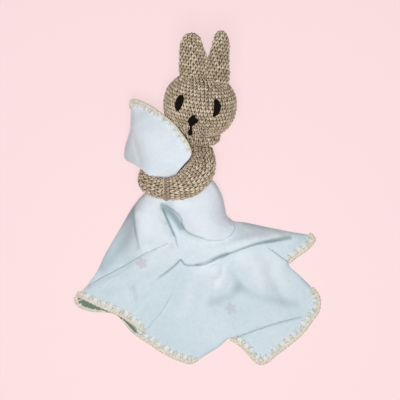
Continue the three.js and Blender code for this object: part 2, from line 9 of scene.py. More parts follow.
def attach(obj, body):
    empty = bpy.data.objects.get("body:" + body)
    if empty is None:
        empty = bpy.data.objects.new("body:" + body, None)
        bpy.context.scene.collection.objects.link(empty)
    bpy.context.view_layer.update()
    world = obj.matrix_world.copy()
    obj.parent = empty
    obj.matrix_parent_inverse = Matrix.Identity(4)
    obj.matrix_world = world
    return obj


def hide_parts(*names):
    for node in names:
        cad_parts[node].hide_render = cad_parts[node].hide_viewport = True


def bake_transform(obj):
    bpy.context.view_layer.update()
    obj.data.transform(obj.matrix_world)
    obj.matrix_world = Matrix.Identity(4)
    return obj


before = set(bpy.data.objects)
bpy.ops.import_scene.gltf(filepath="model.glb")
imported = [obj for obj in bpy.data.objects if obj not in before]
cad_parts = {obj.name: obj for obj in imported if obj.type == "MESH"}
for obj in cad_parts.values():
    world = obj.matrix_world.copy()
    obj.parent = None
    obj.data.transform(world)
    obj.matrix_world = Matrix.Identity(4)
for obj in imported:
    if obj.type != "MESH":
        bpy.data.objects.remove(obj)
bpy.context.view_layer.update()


# The photograph's eye: straight above the toy and five degrees towards its foot, from 1.2 m.
# The lens gives 1.16 mm to a pixel at that distance.
eye_distance = 1.2
pixel = 0.00116
photo_width = 400
sensor_width = 36
eye_elevation = math.radians(85)
aim = Vector((0.0021, 0.0033, 0.025))
bpy.ops.object.camera_add(
    location=aim + eye_distance * Vector((0, -math.cos(eye_elevation), math.sin(eye_elevation))),
    rotation=(math.pi / 2 - eye_elevation, 0, 0),
)
camera = bpy.context.object
camera.data.sensor_width = sensor_width
camera.data.lens = sensor_width * eye_distance / (pixel * photo_width)
camera.data.clip_start = 0.1
bpy.context.scene.camera = camera
bpy.context.scene.view_settings.view_transform = "Standard"


# Shader maths for every finish below: a wire is a socket that takes part in Python expressions, and
# there is a call for any other node, for noise and for relief.
def maths(operation, swapped=False):
    """A method that does one kind of shader maths, with the wire first, or last where it is swapped."""

    def method(wire, *others):
        values = (*others, wire) if swapped else (wire, *others)
        return node(wire.tree, "ShaderNodeMath", {"operation": operation}, *values)

    return method


class Wire:
    def __init__(self, tree, socket):
        self.tree = tree
        self.socket = socket

    __add__ = maths("ADD")
    __radd__ = maths("ADD", swapped=True)
    __sub__ = maths("SUBTRACT")
    __rsub__ = maths("SUBTRACT", swapped=True)
    __mul__ = maths("MULTIPLY")
    __rmul__ = maths("MULTIPLY", swapped=True)
    __pow__ = maths("POWER")
    sine = maths("SINE")
    cosine = maths("COSINE")
    floor = maths("FLOOR")
    absolute = maths("ABSOLUTE")
    most = maths("MAXIMUM")

    def step(self, low, high):
        """0 below low, 1 above high, smooth between."""
        settings = {"interpolation_type": "SMOOTHSTEP"}
        return node(self.tree, "ShaderNodeMapRange", settings, Value=self, From_Min=low, From_Max=high)


def node(tree, kind, settings=None, *values, out=0, numbered=None, **named):
    """One node with its settings, then the values or wires of its inputs; gives back its output."""
    made = tree.nodes.new(kind)
    for name, value in (settings or {}).items():
        setattr(made, name, value)
    numbered = numbered or dict(enumerate(values))
    inputs = [(made.inputs[i], value) for i, value in numbered.items()]
    inputs += [(made.inputs[name.replace("_", " ")], value) for name, value in named.items()]
    for socket, value in inputs:
        if isinstance(value, Wire):
            tree.links.new(value.socket, socket)
        else:
            socket.default_value = value
    return Wire(tree, made.outputs[out])


def blended(tree, share, first, second):
    """A colour between two colours."""
    inputs = {0: share, 6: first, 7: second}
    return node(tree, "ShaderNodeMix", {"data_type": "RGBA"}, out=2, numbered=inputs)


def object_place(tree):
    """Where a point is on the object."""
    return node(tree, "ShaderNodeTexCoord", out=3)


def map_place(tree, part=0):
    """Where a point is on the UV map: its first or its second value."""
    return node(tree, "ShaderNodeSeparateXYZ", None, node(tree, "ShaderNodeTexCoord", out=2), out=part)


def noisy(tree, place, scale, detail=2.0, roughness=0.5, distortion=0.0):
    """Irregular light and dark, finer with a larger scale."""
    values = {"Vector": place, "Scale": scale, "Detail": detail, "Roughness": roughness}
    return node(tree, "ShaderNodeTexNoise", None, Distortion=distortion, **values)


def in_relief(tree, height, strength, distance=0.0003, **more):
    """A relief in the light on the surface."""
    return node(tree, "ShaderNodeBump", None, Strength=strength, Distance=distance, Height=height, **more)


def finish_called(name, roughness=0.9, specular=0.2):
    """A new surface finish: its node tree and its shader."""
    material = bpy.data.materials.new(name)
    material.use_nodes = True
    tree = material.node_tree
    shader = tree.nodes["Principled BSDF"]
    shader.inputs["Roughness"].default_value = roughness
    shader.inputs["Specular IOR Level"].default_value = specular
    return material, tree, shader


def feed(shader, socket, wire):
    wire.tree.links.new(wire.socket, shader.inputs[socket])


# The floor: a plain pale surface that keeps a soft shadow of the toy.
bpy.ops.mesh.primitive_grid_add(x_subdivisions=2, y_subdivisions=2, size=40)
floor = bpy.context.object
floor.name = "floor"
floor_pink = (1.0, 0.772, 0.786, 1)
floor_finish, tree, shader = finish_called("pale floor", roughness=1, specular=0)
shader.inputs["Base Color"].default_value = (1.0, 0.76, 0.77, 1)
glow = node(tree, "ShaderNodeEmission", None, floor_pink, 1.0)
glow_share = 0.8
seen = node(tree, "ShaderNodeLightPath")
shown = node(tree, "ShaderNodeMixShader", None, seen * glow_share, Wire(tree, shader.outputs[0]), glow)
feed(tree.nodes["Material Output"], 0, shown)
floor.data.materials.append(floor_finish)


# Plain studio light: a bright room, and one soft lamp nearly straight over the toy. Behind the floor's
# edge the room shows the floor's own colour.
world = bpy.data.worlds.new("bright room")
world.use_nodes = True
room = world.node_tree
bright = room.nodes["Background"]
bright.inputs[0].default_value = (0.96, 0.98, 1.0, 1)
bright.inputs[1].default_value = 0.3
behind = node(room, "ShaderNodeBackground", None, floor_pink, 1.0)
seen = node(room, "ShaderNodeLightPath")
shown = node(room, "ShaderNodeMixShader", None, seen, Wire(room, bright.outputs[0]), behind)
feed(room.nodes["World Output"], 0, shown)
bpy.context.scene.world = world
bpy.ops.object.light_add(type="AREA", location=(-0.02, -0.17, 0.9))
lamp = bpy.context.object
lamp.data.shape = "SQUARE"
lamp.data.size = 0.3
lamp.data.energy = 5.6
lamp.visible_camera = False
lamp.rotation_euler = (aim - lamp.location).to_track_quat("-Z", "Y").to_euler()


# Crocheted fabric: rounds of V-shaped stitches in tan cotton yarn, about 4.2 mm wide and high.
# Each stitch is two leaning strands of yarn. One stitch is modelled here and worked over every
# crocheted piece, above a skin that closes the holes between the stitches and is painted dark as their shade.
stitch_width = 0.0042
round_height = 0.0042
yarn_tan = (0.88, 0.73, 0.55, 1)
yarn_shade = (0.50, 0.395, 0.28, 1)
# The colour of the painted shade on the ends and flanks of the strands.
yarn_painted_shade = (0.19, 0.14, 0.09, 1)

yarn, tree, shader = finish_called("tan cotton yarn", roughness=0.88, specular=0.15)
place = object_place(tree)
cloudy = noisy(tree, place, 90.0)
fibres = noisy(tree, place, 2600.0, 3.0, 0.7)
strand = map_place(tree)
round_it = map_place(tree, 1)
number = strand.floor()
along = strand - number
own = node(tree, "ShaderNodeTexWhiteNoise", {"noise_dimensions": "1D"}, W=number)
plies = ((along * 9.0 + round_it * 3.0) * math.tau).sine() * 0.5 + 0.5
tone = (cloudy * 0.2 + own * 0.5 + fibres * 0.3 + plies * 0.15).step(0.25, 0.9)
# Painted shade: each strand darkens towards its ends, where it dips between the rounds, and on its flanks.
crown = (along * math.pi).sine() * (round_it * math.tau).cosine().most(0.0)
painted_hollow_shade = 1 - crown.step(0.0, 0.6)
base = blended(tree, tone, yarn_shade, yarn_tan)
feed(shader, "Base Color", blended(tree, painted_hollow_shade * 0.7, base, yarn_painted_shade))
feed(shader, "Normal", in_relief(tree, plies * 0.7 + fibres * 0.5, 0.6))

# The skin's colour is painted shade: as dark as the holes between the stitches look in their shadow.
painted_shade_skin, tree, shader = finish_called("yarn between the stitches", roughness=1, specular=0.05)
fibres = noisy(tree, object_place(tree), 1500.0)
feed(shader, "Base Color", blended(tree, fibres, (0.09, 0.063, 0.04, 1), (0.2, 0.145, 0.095, 1)))


def cut_across(axis, places):
    """Cuts the active object by planes across an axis, to give it points there."""
    bpy.ops.object.mode_set(mode="EDIT")
    for place in places:
        bpy.ops.mesh.select_all(action="SELECT")
        bpy.ops.mesh.bisect(plane_co=[place * part for part in axis], plane_no=axis)
    bpy.ops.object.mode_set(mode="OBJECT")


def taken_apart(piece):
    """The points and faces of an object, which is then removed."""
    points = np.array([vertex.co for vertex in piece.data.vertices])
    faces = [list(face.vertices) for face in piece.data.polygons]
    bpy.data.objects.remove(piece)
    return points, faces


# One strand, lying along its second axis, in widths of a stitch: its size, how far it is from the
# middle of the stitch, how much it leans outwards, and how much it swells and rises in its middle.
strand_length = 1.12
strand_radius = 0.195
strand_apart = 0.235
strand_lean = 0.28
strand_swell = 0.28
strand_sunk = -0.05
bpy.ops.mesh.primitive_cylinder_add(
    vertices=6, radius=strand_radius, depth=strand_length, rotation=(math.pi / 2, 0, 0)
)
bpy.ops.object.transform_apply(location=False, rotation=True, scale=False)
cut_across((0, 1, 0), (-0.25 * strand_length, 0, 0.25 * strand_length))
leg, leg_faces = taken_apart(bpy.context.object)
rise = leg[:, 1] / strand_length
swell = 1 + strand_swell * np.cos(math.pi * rise)
leg[:, 0] *= swell
leg[:, 2] *= swell
leg[:, 0] += strand_apart + strand_lean * rise
leg[:, 2] += strand_sunk + strand_swell * np.cos(math.pi * rise) + 0.06 * rise
minor = leg * (-0.86, 0.94, 0.8) - (0, 0, 0.06)
stitch_points = np.concatenate([leg, minor])
stitch_faces = leg_faces + [[len(leg) + i for i in reversed(face)] for face in leg_faces]


def sampled(grid, across, down):
    """Points on a skin: across goes round it from 0 to 1 and closes, down goes from 0 to 1 along it."""
    rows, columns = grid.shape[:2]
    x = (across % 1) * columns
    y = np.clip(down, 0, 1) * (rows - 1)
    left = np.floor(x).astype(int) % columns
    upper = np.minimum(np.floor(y).astype(int), rows - 2)
    right = (left + 1) % columns
    fx = (x - np.floor(x))[..., None]
    fy = (y - upper)[..., None]
    over = grid[upper, left] * (1 - fx) + grid[upper, right] * fx
    under = grid[upper + 1, left] * (1 - fx) + grid[upper + 1, right] * fx
    return over * (1 - fy) + under * fy


def outward(grid):
    """The outward direction at each point of a skin whose rows run round it from its start to its end."""
    round_way = np.roll(grid, -1, axis=1) - np.roll(grid, 1, axis=1)
    down_way = np.gradient(grid, axis=0)
    normal = np.cross(down_way, round_way)
    length = np.linalg.norm(normal, axis=2, keepdims=True)
    normal = normal / np.maximum(length, 1e-12)
    middle = grid.mean(axis=(0, 1))
    for end, inner in ((0, 1), (-1, -2)):
        thin = length[end, :, 0] < 1e-9
        mean = normal[inner].mean(axis=0)
        normal[end, thin] = mean / max(np.linalg.norm(mean), 1e-9)
    if ((grid - middle) * normal).sum() < 0:
        normal = -normal
    return normal


def mesh_piece(name, points, faces, finish):
    """A smooth-shaded mesh object from its points and faces."""
    mesh = bpy.data.meshes.new(name)
    mesh.from_pydata(np.asarray(points).tolist(), [], faces)
    mesh.validate()
    mesh.update()
    piece = bpy.data.objects.new(name, mesh)
    bpy.context.scene.collection.objects.link(piece)
    mesh.materials.append(finish)
    mesh.polygons.foreach_set("use_smooth", [True] * len(mesh.polygons))
    return piece


def picked(piece):
    """Makes one piece the only one selected, and the active one."""
    bpy.ops.object.select_all(action="DESELECT")
    piece.select_set(True)
    bpy.context.view_layer.objects.active = piece


def merged(piece, threshold=0.00002):
    """Joins the points that coincide, and turns every face outwards."""
    picked(piece)
    bpy.ops.object.mode_set(mode="EDIT")
    bpy.ops.mesh.select_all(action="SELECT")
    bpy.ops.mesh.remove_doubles(threshold=threshold)
    bpy.ops.mesh.normals_make_consistent(inside=False)
    bpy.ops.object.mode_set(mode="OBJECT")


def add_uv(piece, name, values):
    """A UV map that gives every corner of a face the two values of its vertex."""
    corner = np.zeros(len(piece.data.loops), int)
    piece.data.loops.foreach_get("vertex_index", corner)
    piece.data.uv_layers.new(name=name).data.foreach_set("uv", values[corner].ravel())


def rings_joined(rings, count):
    """Faces between rings of so many points each, one after the other."""
    faces = []
    for first in range(0, (rings - 1) * count, count):
        for i in range(count):
            beside = (i + 1) % count
            faces.append([first + i, first + beside, first + count + beside, first + count + i])
    return faces


# The skin under the stitches lies this far below the surface that they are worked over.
skin_inset = 0.0002


def skin_piece(name, grid, normal):
    """The closed skin under the stitches."""
    rows, columns = grid.shape[:2]
    start = list(range(columns))
    end = [(rows - 1) * columns + i for i in start]
    faces = rings_joined(rows, columns) + [start[::-1], end]
    piece = mesh_piece(name, (grid - normal * skin_inset).reshape(-1, 3), faces, painted_shade_skin)
    merged(piece)
    return piece


def running(steps):
    """How far along each point is, from the steps between the points."""
    return np.concatenate([[0], np.cumsum(steps)])


def repeated(faces, size, count):
    """The faces of a shape of so many points, a number of times."""
    return [[i + start * size for i in face] for start in range(count) for face in faces]


def worked(name, grid, normal, width=stitch_width, height=round_height):
    """Rounds of stitches over a skin, from its start to its end, as one mesh."""
    rows = len(grid)
    run = running(np.linalg.norm(np.diff(grid, axis=0), axis=2).mean(axis=1))
    rounds = max(int(round(run[-1] / height)), 1)
    spots = (np.arange(rounds) + 0.5) / rounds
    down = np.interp(spots * run[-1], run, np.linspace(0, 1, rows))
    tall = np.gradient(down) if rounds > 1 else np.array([1.0])
    points = []
    strands = []
    turn = 0.0
    chance = np.random.default_rng(5)
    for number in range(rounds):
        ring = sampled(grid, np.linspace(0, 1, 64, endpoint=False), np.full(64, down[number]))
        girth = np.linalg.norm(ring - np.roll(ring, 1, axis=0), axis=1).sum()
        count = max(int(round(girth / width)), 3)
        turn += 0.5 / count
        for i in range(count):
            loose = chance.uniform(-1, 1, 4)
            across = (i + stitch_points[:, 0] * (1 + 0.1 * loose[0]) + 0.08 * loose[1]) / count + turn
            level = down[number] - (stitch_points[:, 1] + 0.05 * loose[2]) * tall[number]
            place = sampled(grid, across, level)
            out = sampled(normal, across, level)
            points.append(place + out * ((stitch_points[:, 2:3] + 0.09 * loose[3]) * width))
    size = len(stitch_points)
    faces = repeated(stitch_faces, size, len(points))
    piece = mesh_piece(name, np.concatenate(points), faces, yarn)
    along = np.tile((stitch_points[:, 1] / strand_length + 0.5) * 0.98 + 0.01, len(points))
    along += np.repeat(np.arange(len(points)), size)
    centre = strand_apart + strand_lean * stitch_points[:, 1] / strand_length
    level = strand_sunk + strand_swell * np.cos(math.pi * stitch_points[:, 1] / strand_length)
    about = np.arctan2(np.abs(stitch_points[:, 0]) - centre, stitch_points[:, 2] - level) / math.tau
    add_uv(piece, "strand", np.stack([along, np.tile(about, len(points))], axis=1))
    return piece


def puffed(name, grid, swell):
    """The skin filled with stuffing: a short cloth simulation blows it up, by no more than swell."""
    rows, columns = grid.shape[:2]
    points = np.concatenate([grid[:1, 0], grid[1:-1].reshape(-1, 3), grid[-1:, 0]])
    last = len(points) - 1
    faces = []
    for column in range(columns):
        beside = (column + 1) % columns
        faces.append([0, 1 + beside, 1 + column])
        foot = 1 + (rows - 3) * columns
        faces.append([foot + column, foot + beside, last])
        for row in range(rows - 3):
            head = 1 + row * columns
            faces.append([head + column, head + beside, head + columns + beside, head + columns + column])
    bag = mesh_piece(name + " bag", points, faces, painted_shade_skin)
    picked(bag)
    bpy.ops.object.mode_set(mode="EDIT")
    bpy.ops.mesh.select_all(action="SELECT")
    bpy.ops.mesh.normals_make_consistent(inside=False)
    bpy.ops.object.mode_set(mode="OBJECT")
    cloth = bag.modifiers.new("stuffing", "CLOTH")
    cloth.settings.use_pressure = True
    cloth.settings.uniform_pressure_force = 3
    cloth.settings.effector_weights.gravity = 0
    cloth.settings.tension_stiffness = 40
    cloth.settings.bending_stiffness = 5
    cloth.point_cache.frame_end = 12
    for moment in range(1, 13):
        bpy.context.scene.frame_set(moment)
    bpy.ops.object.modifier_apply(modifier=cloth.name)
    blown = np.array([vertex.co for vertex in bag.data.vertices])
    bpy.data.objects.remove(bag)
    bpy.context.scene.frame_set(1)
    move = blown - points
    far = np.linalg.norm(move, axis=1, keepdims=True)
    points = points + move * np.minimum(1, swell / np.maximum(far, 1e-9))
    middle = points[1:-1].reshape(rows - 2, columns, 3)
    ends = [np.repeat(points[i][None, None], columns, axis=1) for i in (0, -1)]
    return np.concatenate([ends[0], middle, ends[1]])


def kept_off_floor(piece, lowest=0.0003):
    """Flattens what lies on the floor."""
    points = np.zeros(len(piece.data.vertices) * 3)
    piece.data.vertices.foreach_get("co", points)
    points = points.reshape(-1, 3)
    points[:, 2] = np.maximum(points[:, 2], lowest)
    piece.data.vertices.foreach_set("co", points.ravel())
    piece.data.update()


# Nothing of the stuffed skins lies lower than this over the floor, with room for the stitches.
lowest_skin = 0.0012


def crocheted(name, body, grid, nodes, swell=0.0008, **size):
    """A stuffed crocheted piece: its skin, and the stitches worked over it, on one body."""
    if swell:
        grid = puffed(name, grid, swell)
    normal = outward(grid)
    skin = skin_piece(name + "_skin", grid, normal)
    stitches = worked(name + "_stitches", grid, normal, **size)
    for piece in (skin, stitches):
        kept_off_floor(piece)
        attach(piece, body)
    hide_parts(*nodes)


# Head: a stuffed ball crocheted in rounds from the crown to the neck, wider than it is high.
# It lies on its back with the crown raised 25 degrees and leaning a little to the right.
head_centre = np.array((0.002121, 0.111896, 0.041975))
crown_way = np.array((0.126134, 0.897488, 0.422618))
face_way = np.array((-0.058817, -0.418505, 0.906308))
right_way = np.array((0.990268, -0.139173, 0.0))
head_width = 0.0811
head_height = 0.0694
head_squareness = 2.3


def ball(width, depth, height, squareness, rows=44, columns=64):
    """A round skin about its own height axis, as (right, front, up) from its middle."""
    fine = np.linspace(math.pi / 2, -math.pi / 2, 900)
    across = np.clip(np.cos(fine), 0, None) ** (2 / squareness)
    up = np.sign(np.sin(fine)) * np.abs(np.sin(fine)) ** (2 / squareness)
    run = running(np.hypot(np.diff(across) * width, np.diff(up) * height))
    spots = np.linspace(0, run[-1], rows)
    across = np.interp(spots, run, across)
    up = np.interp(spots, run, up)
    across[[0, -1]] = 0
    about = np.linspace(0, math.tau, columns, endpoint=False)
    right = across[:, None] * np.cos(about) * width / 2
    front = across[:, None] * np.sin(about) * depth / 2
    return np.stack([right, front, np.repeat(up[:, None] * height / 2, columns, axis=1)], axis=2)


def placed(local, middle, right, front, up):
    return middle + local[..., :1] * right + local[..., 1:2] * front + local[..., 2:3] * up


head_skin = placed(
    ball(head_width, head_width, head_height, head_squareness), head_centre, right_way, face_way, crown_way
)
head_skin[..., 2] = np.maximum(head_skin[..., 2], lowest_skin)
crocheted("head", "head", head_skin, ["head_cover", "head_stuffing"], swell=0.0006)


# Ears: flat and double, crocheted in the round and not stuffed, sewn side by side across the crown.
# Their edges are given every few millimetres up from the seam: height, left edge, right edge, thickness.
ear_seam = np.array((0.00538, 0.135084, 0.063928))
ear_left_edges = [
    (-3.5, -26.6, 2.5, 4.2), (0, -27, 2.5, 4.4), (8, -28.8, 2.5, 4.4), (18, -29.9, 2.5, 4.2),
    (26, -30.4, 2.4, 4.2), (32, -30.8, 1.6, 4.2), (39, -30.8, -2.2, 4.2), (44, -30.2, -4.4, 4.0),
    (49, -29, -6.6, 3.8), (53, -26.9, -8.6, 3.2), (55.4, -23.5, -11.4, 2.4), (56.2, -20.5, -14.5, 1.4),
]
ear_right_edges = [
    (-3.5, 1.3, 29, 4.2), (0, 1.3, 29.6, 4.4), (8, 1.3, 30, 4.4), (14, 1.3, 29.8, 4.4), (20, 1.3, 28.5, 4.2),
    (30, 1.6, 26.8, 4.2), (36, 3.4, 26, 4.2), (44, 4.2, 25.2, 4.0), (50, 5, 23.6, 3.8), (54, 6, 21.6, 3.4),
    (57, 6.9, 20.3, 3), (59, 8.5, 18.8, 2.4), (59.8, 10.4, 16.8, 1.5),
]


# The stitches stand out past the skin, which is this much narrower and thinner than the ear.
ear_narrower = 0.0024
ear_thinner = 0.0026


def ear_skin(edges, tilt, rows=40, columns=44):
    """A flattened tube, open inside the head and closed at its tip."""
    table = np.array(edges) / 1000
    heights = table[:, 0]
    steps = running(np.hypot(np.diff(heights), np.diff(table[:, 1:3].mean(axis=1))))
    spots = np.linspace(0, steps[-1], rows)
    height, left, right, thick = (np.interp(spots, steps, table[:, i])[:, None] for i in range(4))
    fine = np.linspace(0, math.tau, 721)
    girth = running(np.hypot(np.diff(12 * np.cos(fine)), np.diff(1.6 * np.sin(fine))))
    about = np.interp(np.linspace(0, girth[-1], columns, endpoint=False), girth, fine)
    across = np.sign(np.cos(about)) * np.abs(np.cos(about)) ** 0.8
    proud = np.sign(np.sin(about)) * np.abs(np.sin(about)) ** 0.8
    x = (left + right) / 2 + (right - left - ear_narrower) / 2 * across
    y = (thick - ear_thinner) / 2 * proud
    lean = math.radians(tilt)
    up = math.cos(lean) * crown_way + math.sin(lean) * face_way
    front = math.cos(lean) * face_way - math.sin(lean) * crown_way
    local = np.stack([x, y, np.repeat(height, columns, axis=1)], axis=2)
    return placed(local, ear_seam, right_way, front, up)


for name, body, edges, tilt in (
    ("ear_left", "left_ear", ear_left_edges, 12), ("ear_right", "right_ear", ear_right_edges, 0)
):
    grid = ear_skin(edges, tilt)
    normal = outward(grid)
    skin = skin_piece(name + "_skin", grid, normal)
    stitches = worked(name + "_stitches", grid, normal, width=0.004, height=0.004)
    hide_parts(name)
    for piece in (skin, stitches):
        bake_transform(piece)


# Neck roll: the last rounds of the body, folded over in a soft ring under the head.
neck_middle = np.array((0.0004, 0.079365, 0.026761))
roll_radius = 0.0184
roll_thickness = 0.0112


def neck_ring(rows=30, columns=64):
    about = np.linspace(0, math.tau, columns, endpoint=False)
    section = np.linspace(math.pi, -math.pi, rows)[:, None]
    out = roll_radius + roll_thickness / 2 * np.cos(section)
    up = np.repeat(roll_thickness / 2 * np.sin(section), columns, axis=1)
    local = np.stack([out * np.cos(about), out * np.sin(about), up], axis=2)
    return placed(local, neck_middle, right_way, face_way, crown_way)


crocheted("neck_roll", "hug", neck_ring(), ["neck_roll"], swell=0, width=0.005, height=0.0046)


# Body: a small stuffed bag under the neck, hidden by the arms and the cloth from above.
body_up = np.array((0.436701, 0.895372, 0.087156))
body_right = np.array((0.898794, -0.438371, 0.0))
body_front = np.cross(body_right, body_up)
body_middle = np.array((-0.0142, 0.05675, 0.0176))
body_skin = placed(ball(0.0474, 0.0334, 0.0594, 2.2, 36, 48), body_middle, body_right, body_front, body_up)
body_skin[..., 2] = np.maximum(body_skin[..., 2], lowest_skin)
crocheted("body", "hug", body_skin, ["torso_cover", "torso_stuffing"])


# Arms: stuffed crocheted tubes from the shoulders forward and round to the front, where the hands
# are sewn together. Each route and its thickness follow the construction, in millimetres.
arm_shift = np.array((2.121, 3.296, 0))
arm_right_route = [
    [-6, 52, 20], [2, 56, 24], [4, 46, 33], [-0.5, 31, 45], [-12, 18, 53], [-26, 11, 57], [-44, 9.6, 57],
]
arm_right_radii = [11, 12.5, 15.6, 17.4, 16.4, 13.4, 12.5]
arm_left_route = [
    [-24, 42, 20], [-38, 44, 18], [-51, 39, 18], [-60, 30, 24], [-60.5, 21, 37], [-53, 13.5, 49.5],
    [-34, 9, 57.5],
]
arm_left_radii = [9.5, 10, 10.5, 10.6, 11, 12, 13]


def distances(line):
    """How far along a line each of its points is."""
    return running(np.linalg.norm(np.diff(line, axis=0), axis=1))


def points_at(line, run, spots):
    """The points of a line at the given distances along it."""
    return np.stack([np.interp(spots, run, line[:, i]) for i in range(line.shape[1])], axis=1)


def curve(p0, p1, p2, p3, steps):
    """Points from p1 to just before p2, on a curve through all four."""
    return [
        0.5 * (2 * p1 + (p2 - p0) * t + (2 * p0 - 5 * p1 + 4 * p2 - p3) * t**2
               + (3 * p1 - p0 - 3 * p2 + p3) * t**3)
        for t in np.linspace(0, 1, steps, endpoint=False)
    ]


def smooth_route(route, count):
    """Points at even steps along a curve through a route."""
    knots = np.array(route, float)
    knots = np.concatenate([[2 * knots[0] - knots[1]], knots, [2 * knots[-1] - knots[-2]]])
    line = []
    for stretch in zip(knots, knots[1:], knots[2:], knots[3:]):
        line += curve(*stretch, 40)
    line = np.array(line + [knots[-2]])
    run = distances(line)
    return points_at(line, run, np.linspace(0, run[-1], count))


# The skin is this much thinner than the arm, because the stitches stand out past it.
arm_inset = 1.3


def tube_skin(route, radii, rows=56, columns=40):
    """A tube along a route, rounded at its ends."""
    line = smooth_route(route, rows)
    along = np.linspace(0, 1, rows)
    radius = np.interp(along * (len(radii) - 1), np.arange(len(radii)), radii) - arm_inset
    height = 2 * along - 1
    radius = radius * np.sqrt(np.clip(1 - np.abs(height) ** 14, 0, None))
    tangent = np.gradient(line, axis=0)
    tangent /= np.linalg.norm(tangent, axis=1, keepdims=True)
    across = np.array((0.0, 0.0, 1.0))
    about = np.linspace(0, math.tau, columns, endpoint=False)
    rings = []
    for i in range(rows):
        across = across - tangent[i] * (across @ tangent[i])
        across /= np.linalg.norm(across)
        side = np.cross(tangent[i], across)
        ring = across * np.cos(about)[:, None] + side * np.sin(about)[:, None]
        rings.append(line[i] + ring * radius[i])
    return (np.array(rings) + arm_shift) / 1000


arm_right_skin = tube_skin(arm_right_route, arm_right_radii)
crocheted("arm_right", "hug", arm_right_skin, ["arm_right_cover", "arm_right_stuffing"])
arm_left_skin = tube_skin(arm_left_route, arm_left_radii)
crocheted("arm_left", "hug", arm_left_skin, ["arm_left_cover", "arm_left_stuffing"])


# Face: two eyes, a nose and a mouth, worked over the stitches in satin stitch with near-black
# thread. Each outline is given on the front of the head, in millimetres right and up of its middle.
thread, tree, shader = finish_called("near-black embroidery thread", roughness=0.75, specular=0.1)
shader.inputs["Sheen Weight"].default_value = 0.02
shader.inputs["Sheen Roughness"].default_value = 0.4
thread_pitch = 0.09
threads = (map_place(tree) * (math.tau / thread_pitch)).sine() * 0.5 + 0.5
fuzz = noisy(tree, object_place(tree), 2400.0)
tone = threads * 0.6 + fuzz * 0.3
feed(shader, "Base Color", blended(tree, tone, (0.002, 0.0015, 0.0006, 1), (0.011, 0.007, 0.003, 1)))
feed(shader, "Normal", in_relief(tree, threads + fuzz * 0.3, 0.7))

face_outlines = {
    "eye_left": [
        (-21.8, 16.8), (-19.4, 16.8), (-17.5, 13.7), (-18, 9.9), (-19.3, 5.1), (-21.3, -0.1), (-22.8, -1.4),
        (-25.7, -0.2), (-27.3, 3.3), (-27.2, 7.9), (-25.8, 12.6), (-23.6, 15.7),
    ],
    "eye_right": [
        (15.9, 16.9), (18.2, 18.2), (21.1, 15.8), (23.9, 12.1), (24.5, 7.8), (23.6, 3.3), (21.5, 0),
        (17.9, -1.3), (16.1, -0.5), (16.9, 1.9), (16.6, 8.4), (16.1, 13.4),
    ],
    "nose": [
        (-8.7, -5.8), (-5.8, -2.2), (-2.9, -1.7), (-1.5, -4.5), (1.4, -6.8), (1.2, -8.9), (-2, -12.3),
        (-4.4, -15.4), (-7.6, -16), (-9.5, -12.4), (-10.6, -10),
    ],
    "mouth_stitch": [
        (-7.1, -14), (-5, -13.6), (-4.5, -18.9), (-3.6, -25.7), (-4.2, -29.6), (-6.7, -30.5), (-8.6, -28.3),
        (-8.9, -23.4), (-7.2, -20.4),
    ],
}


def rounded_loop(corners, count):
    """Points at even steps round a closed curve through its corners."""
    knots = np.array(corners, float)
    before, after, beyond = np.roll(knots, 1, 0), np.roll(knots, -1, 0), np.roll(knots, -2, 0)
    line = []
    for stretch in zip(before, knots, after, beyond):
        line += curve(*stretch, 16)
    line = np.array(line + [knots[0]])
    run = distances(line)
    return points_at(line, run, np.linspace(0, run[-1], count, endpoint=False))


def on_face(spots, proud):
    """Places on the front of the head, right and up in metres, standing proud of the skin."""
    half_width = head_width / 2 + proud
    half_height = head_height / 2 + proud
    level = np.clip(np.abs(spots[:, 1]) / half_height, 0, 0.999)
    radius = half_width * (1 - level**head_squareness) ** (1 / head_squareness)
    front = np.sqrt(np.clip(radius**2 - spots[:, 0] ** 2, 1e-9, None))
    local = np.stack([spots[:, 0], front, spots[:, 1]], axis=1)
    return placed(local, head_centre, right_way, face_way, crown_way)


# The rings of points of a patch: their share of the way from its middle to its rim, and how far they
# stand over the skin.
patch_shares = (0.0, 0.25, 0.5, 0.7, 0.85, 0.94, 1.0, 1.0)
patch_heights = (2.9, 2.85, 2.75, 2.6, 2.4, 2.15, 1.7, 0.4)
for name, corners in face_outlines.items():
    rim = rounded_loop(corners, 64) / 1000
    middle = rim.mean(axis=0)
    rings = [middle + (rim - middle) * share for share in patch_shares]
    points = [on_face(ring, height / 1000) for ring, height in zip(rings, patch_heights)]
    count = len(rim)
    foot = (len(rings) - 1) * count
    faces = rings_joined(len(rings), count) + [[foot + i for i in range(count)]]
    patch = mesh_piece(name + "_stitching", np.concatenate(points), faces, thread)
    add_uv(patch, "threads", np.concatenate(rings) * 100)
    merged(patch, 0.00001)
    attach(patch, "head")
    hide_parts(name)


# Hand seam: the hands are whipped together with the same yarn, a ring of short slanting stitches.
hand_middle = np.array((-0.0359, 0.012595, 0.05745))
hand_radius = 0.0112
seam_points = []
seam_count = 19
seam_wide, seam_long, seam_high = 0.0042, 0.0048, 0.0046
for number in range(seam_count):
    turn = math.tau * number / seam_count
    out = np.array((0.0, math.cos(turn), math.sin(turn)))
    round_way = np.array((0.0, -math.sin(turn), math.cos(turn)))
    slant = np.array((1.0, 0.0, 0.0)) * 0.9 + round_way * 0.35
    centred = leg - (strand_apart, 0, 0)
    seam_points.append(
        hand_middle + out * (hand_radius + centred[:, 2:3] * seam_high)
        + round_way * centred[:, :1] * seam_wide + slant * centred[:, 1:2] * seam_long
    )
seam_faces = repeated(leg_faces, len(leg), seam_count)
hand_seam = mesh_piece("hand_seam_stitches", np.concatenate(seam_points), seam_faces, yarn)
strand_way = np.stack([leg[:, 1] / strand_length + 0.5, leg[:, 2]], axis=1)
add_uv(hand_seam, "strand", np.tile(strand_way, (seam_count, 1)))
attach(hand_seam, "hug")
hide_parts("hand_seam")


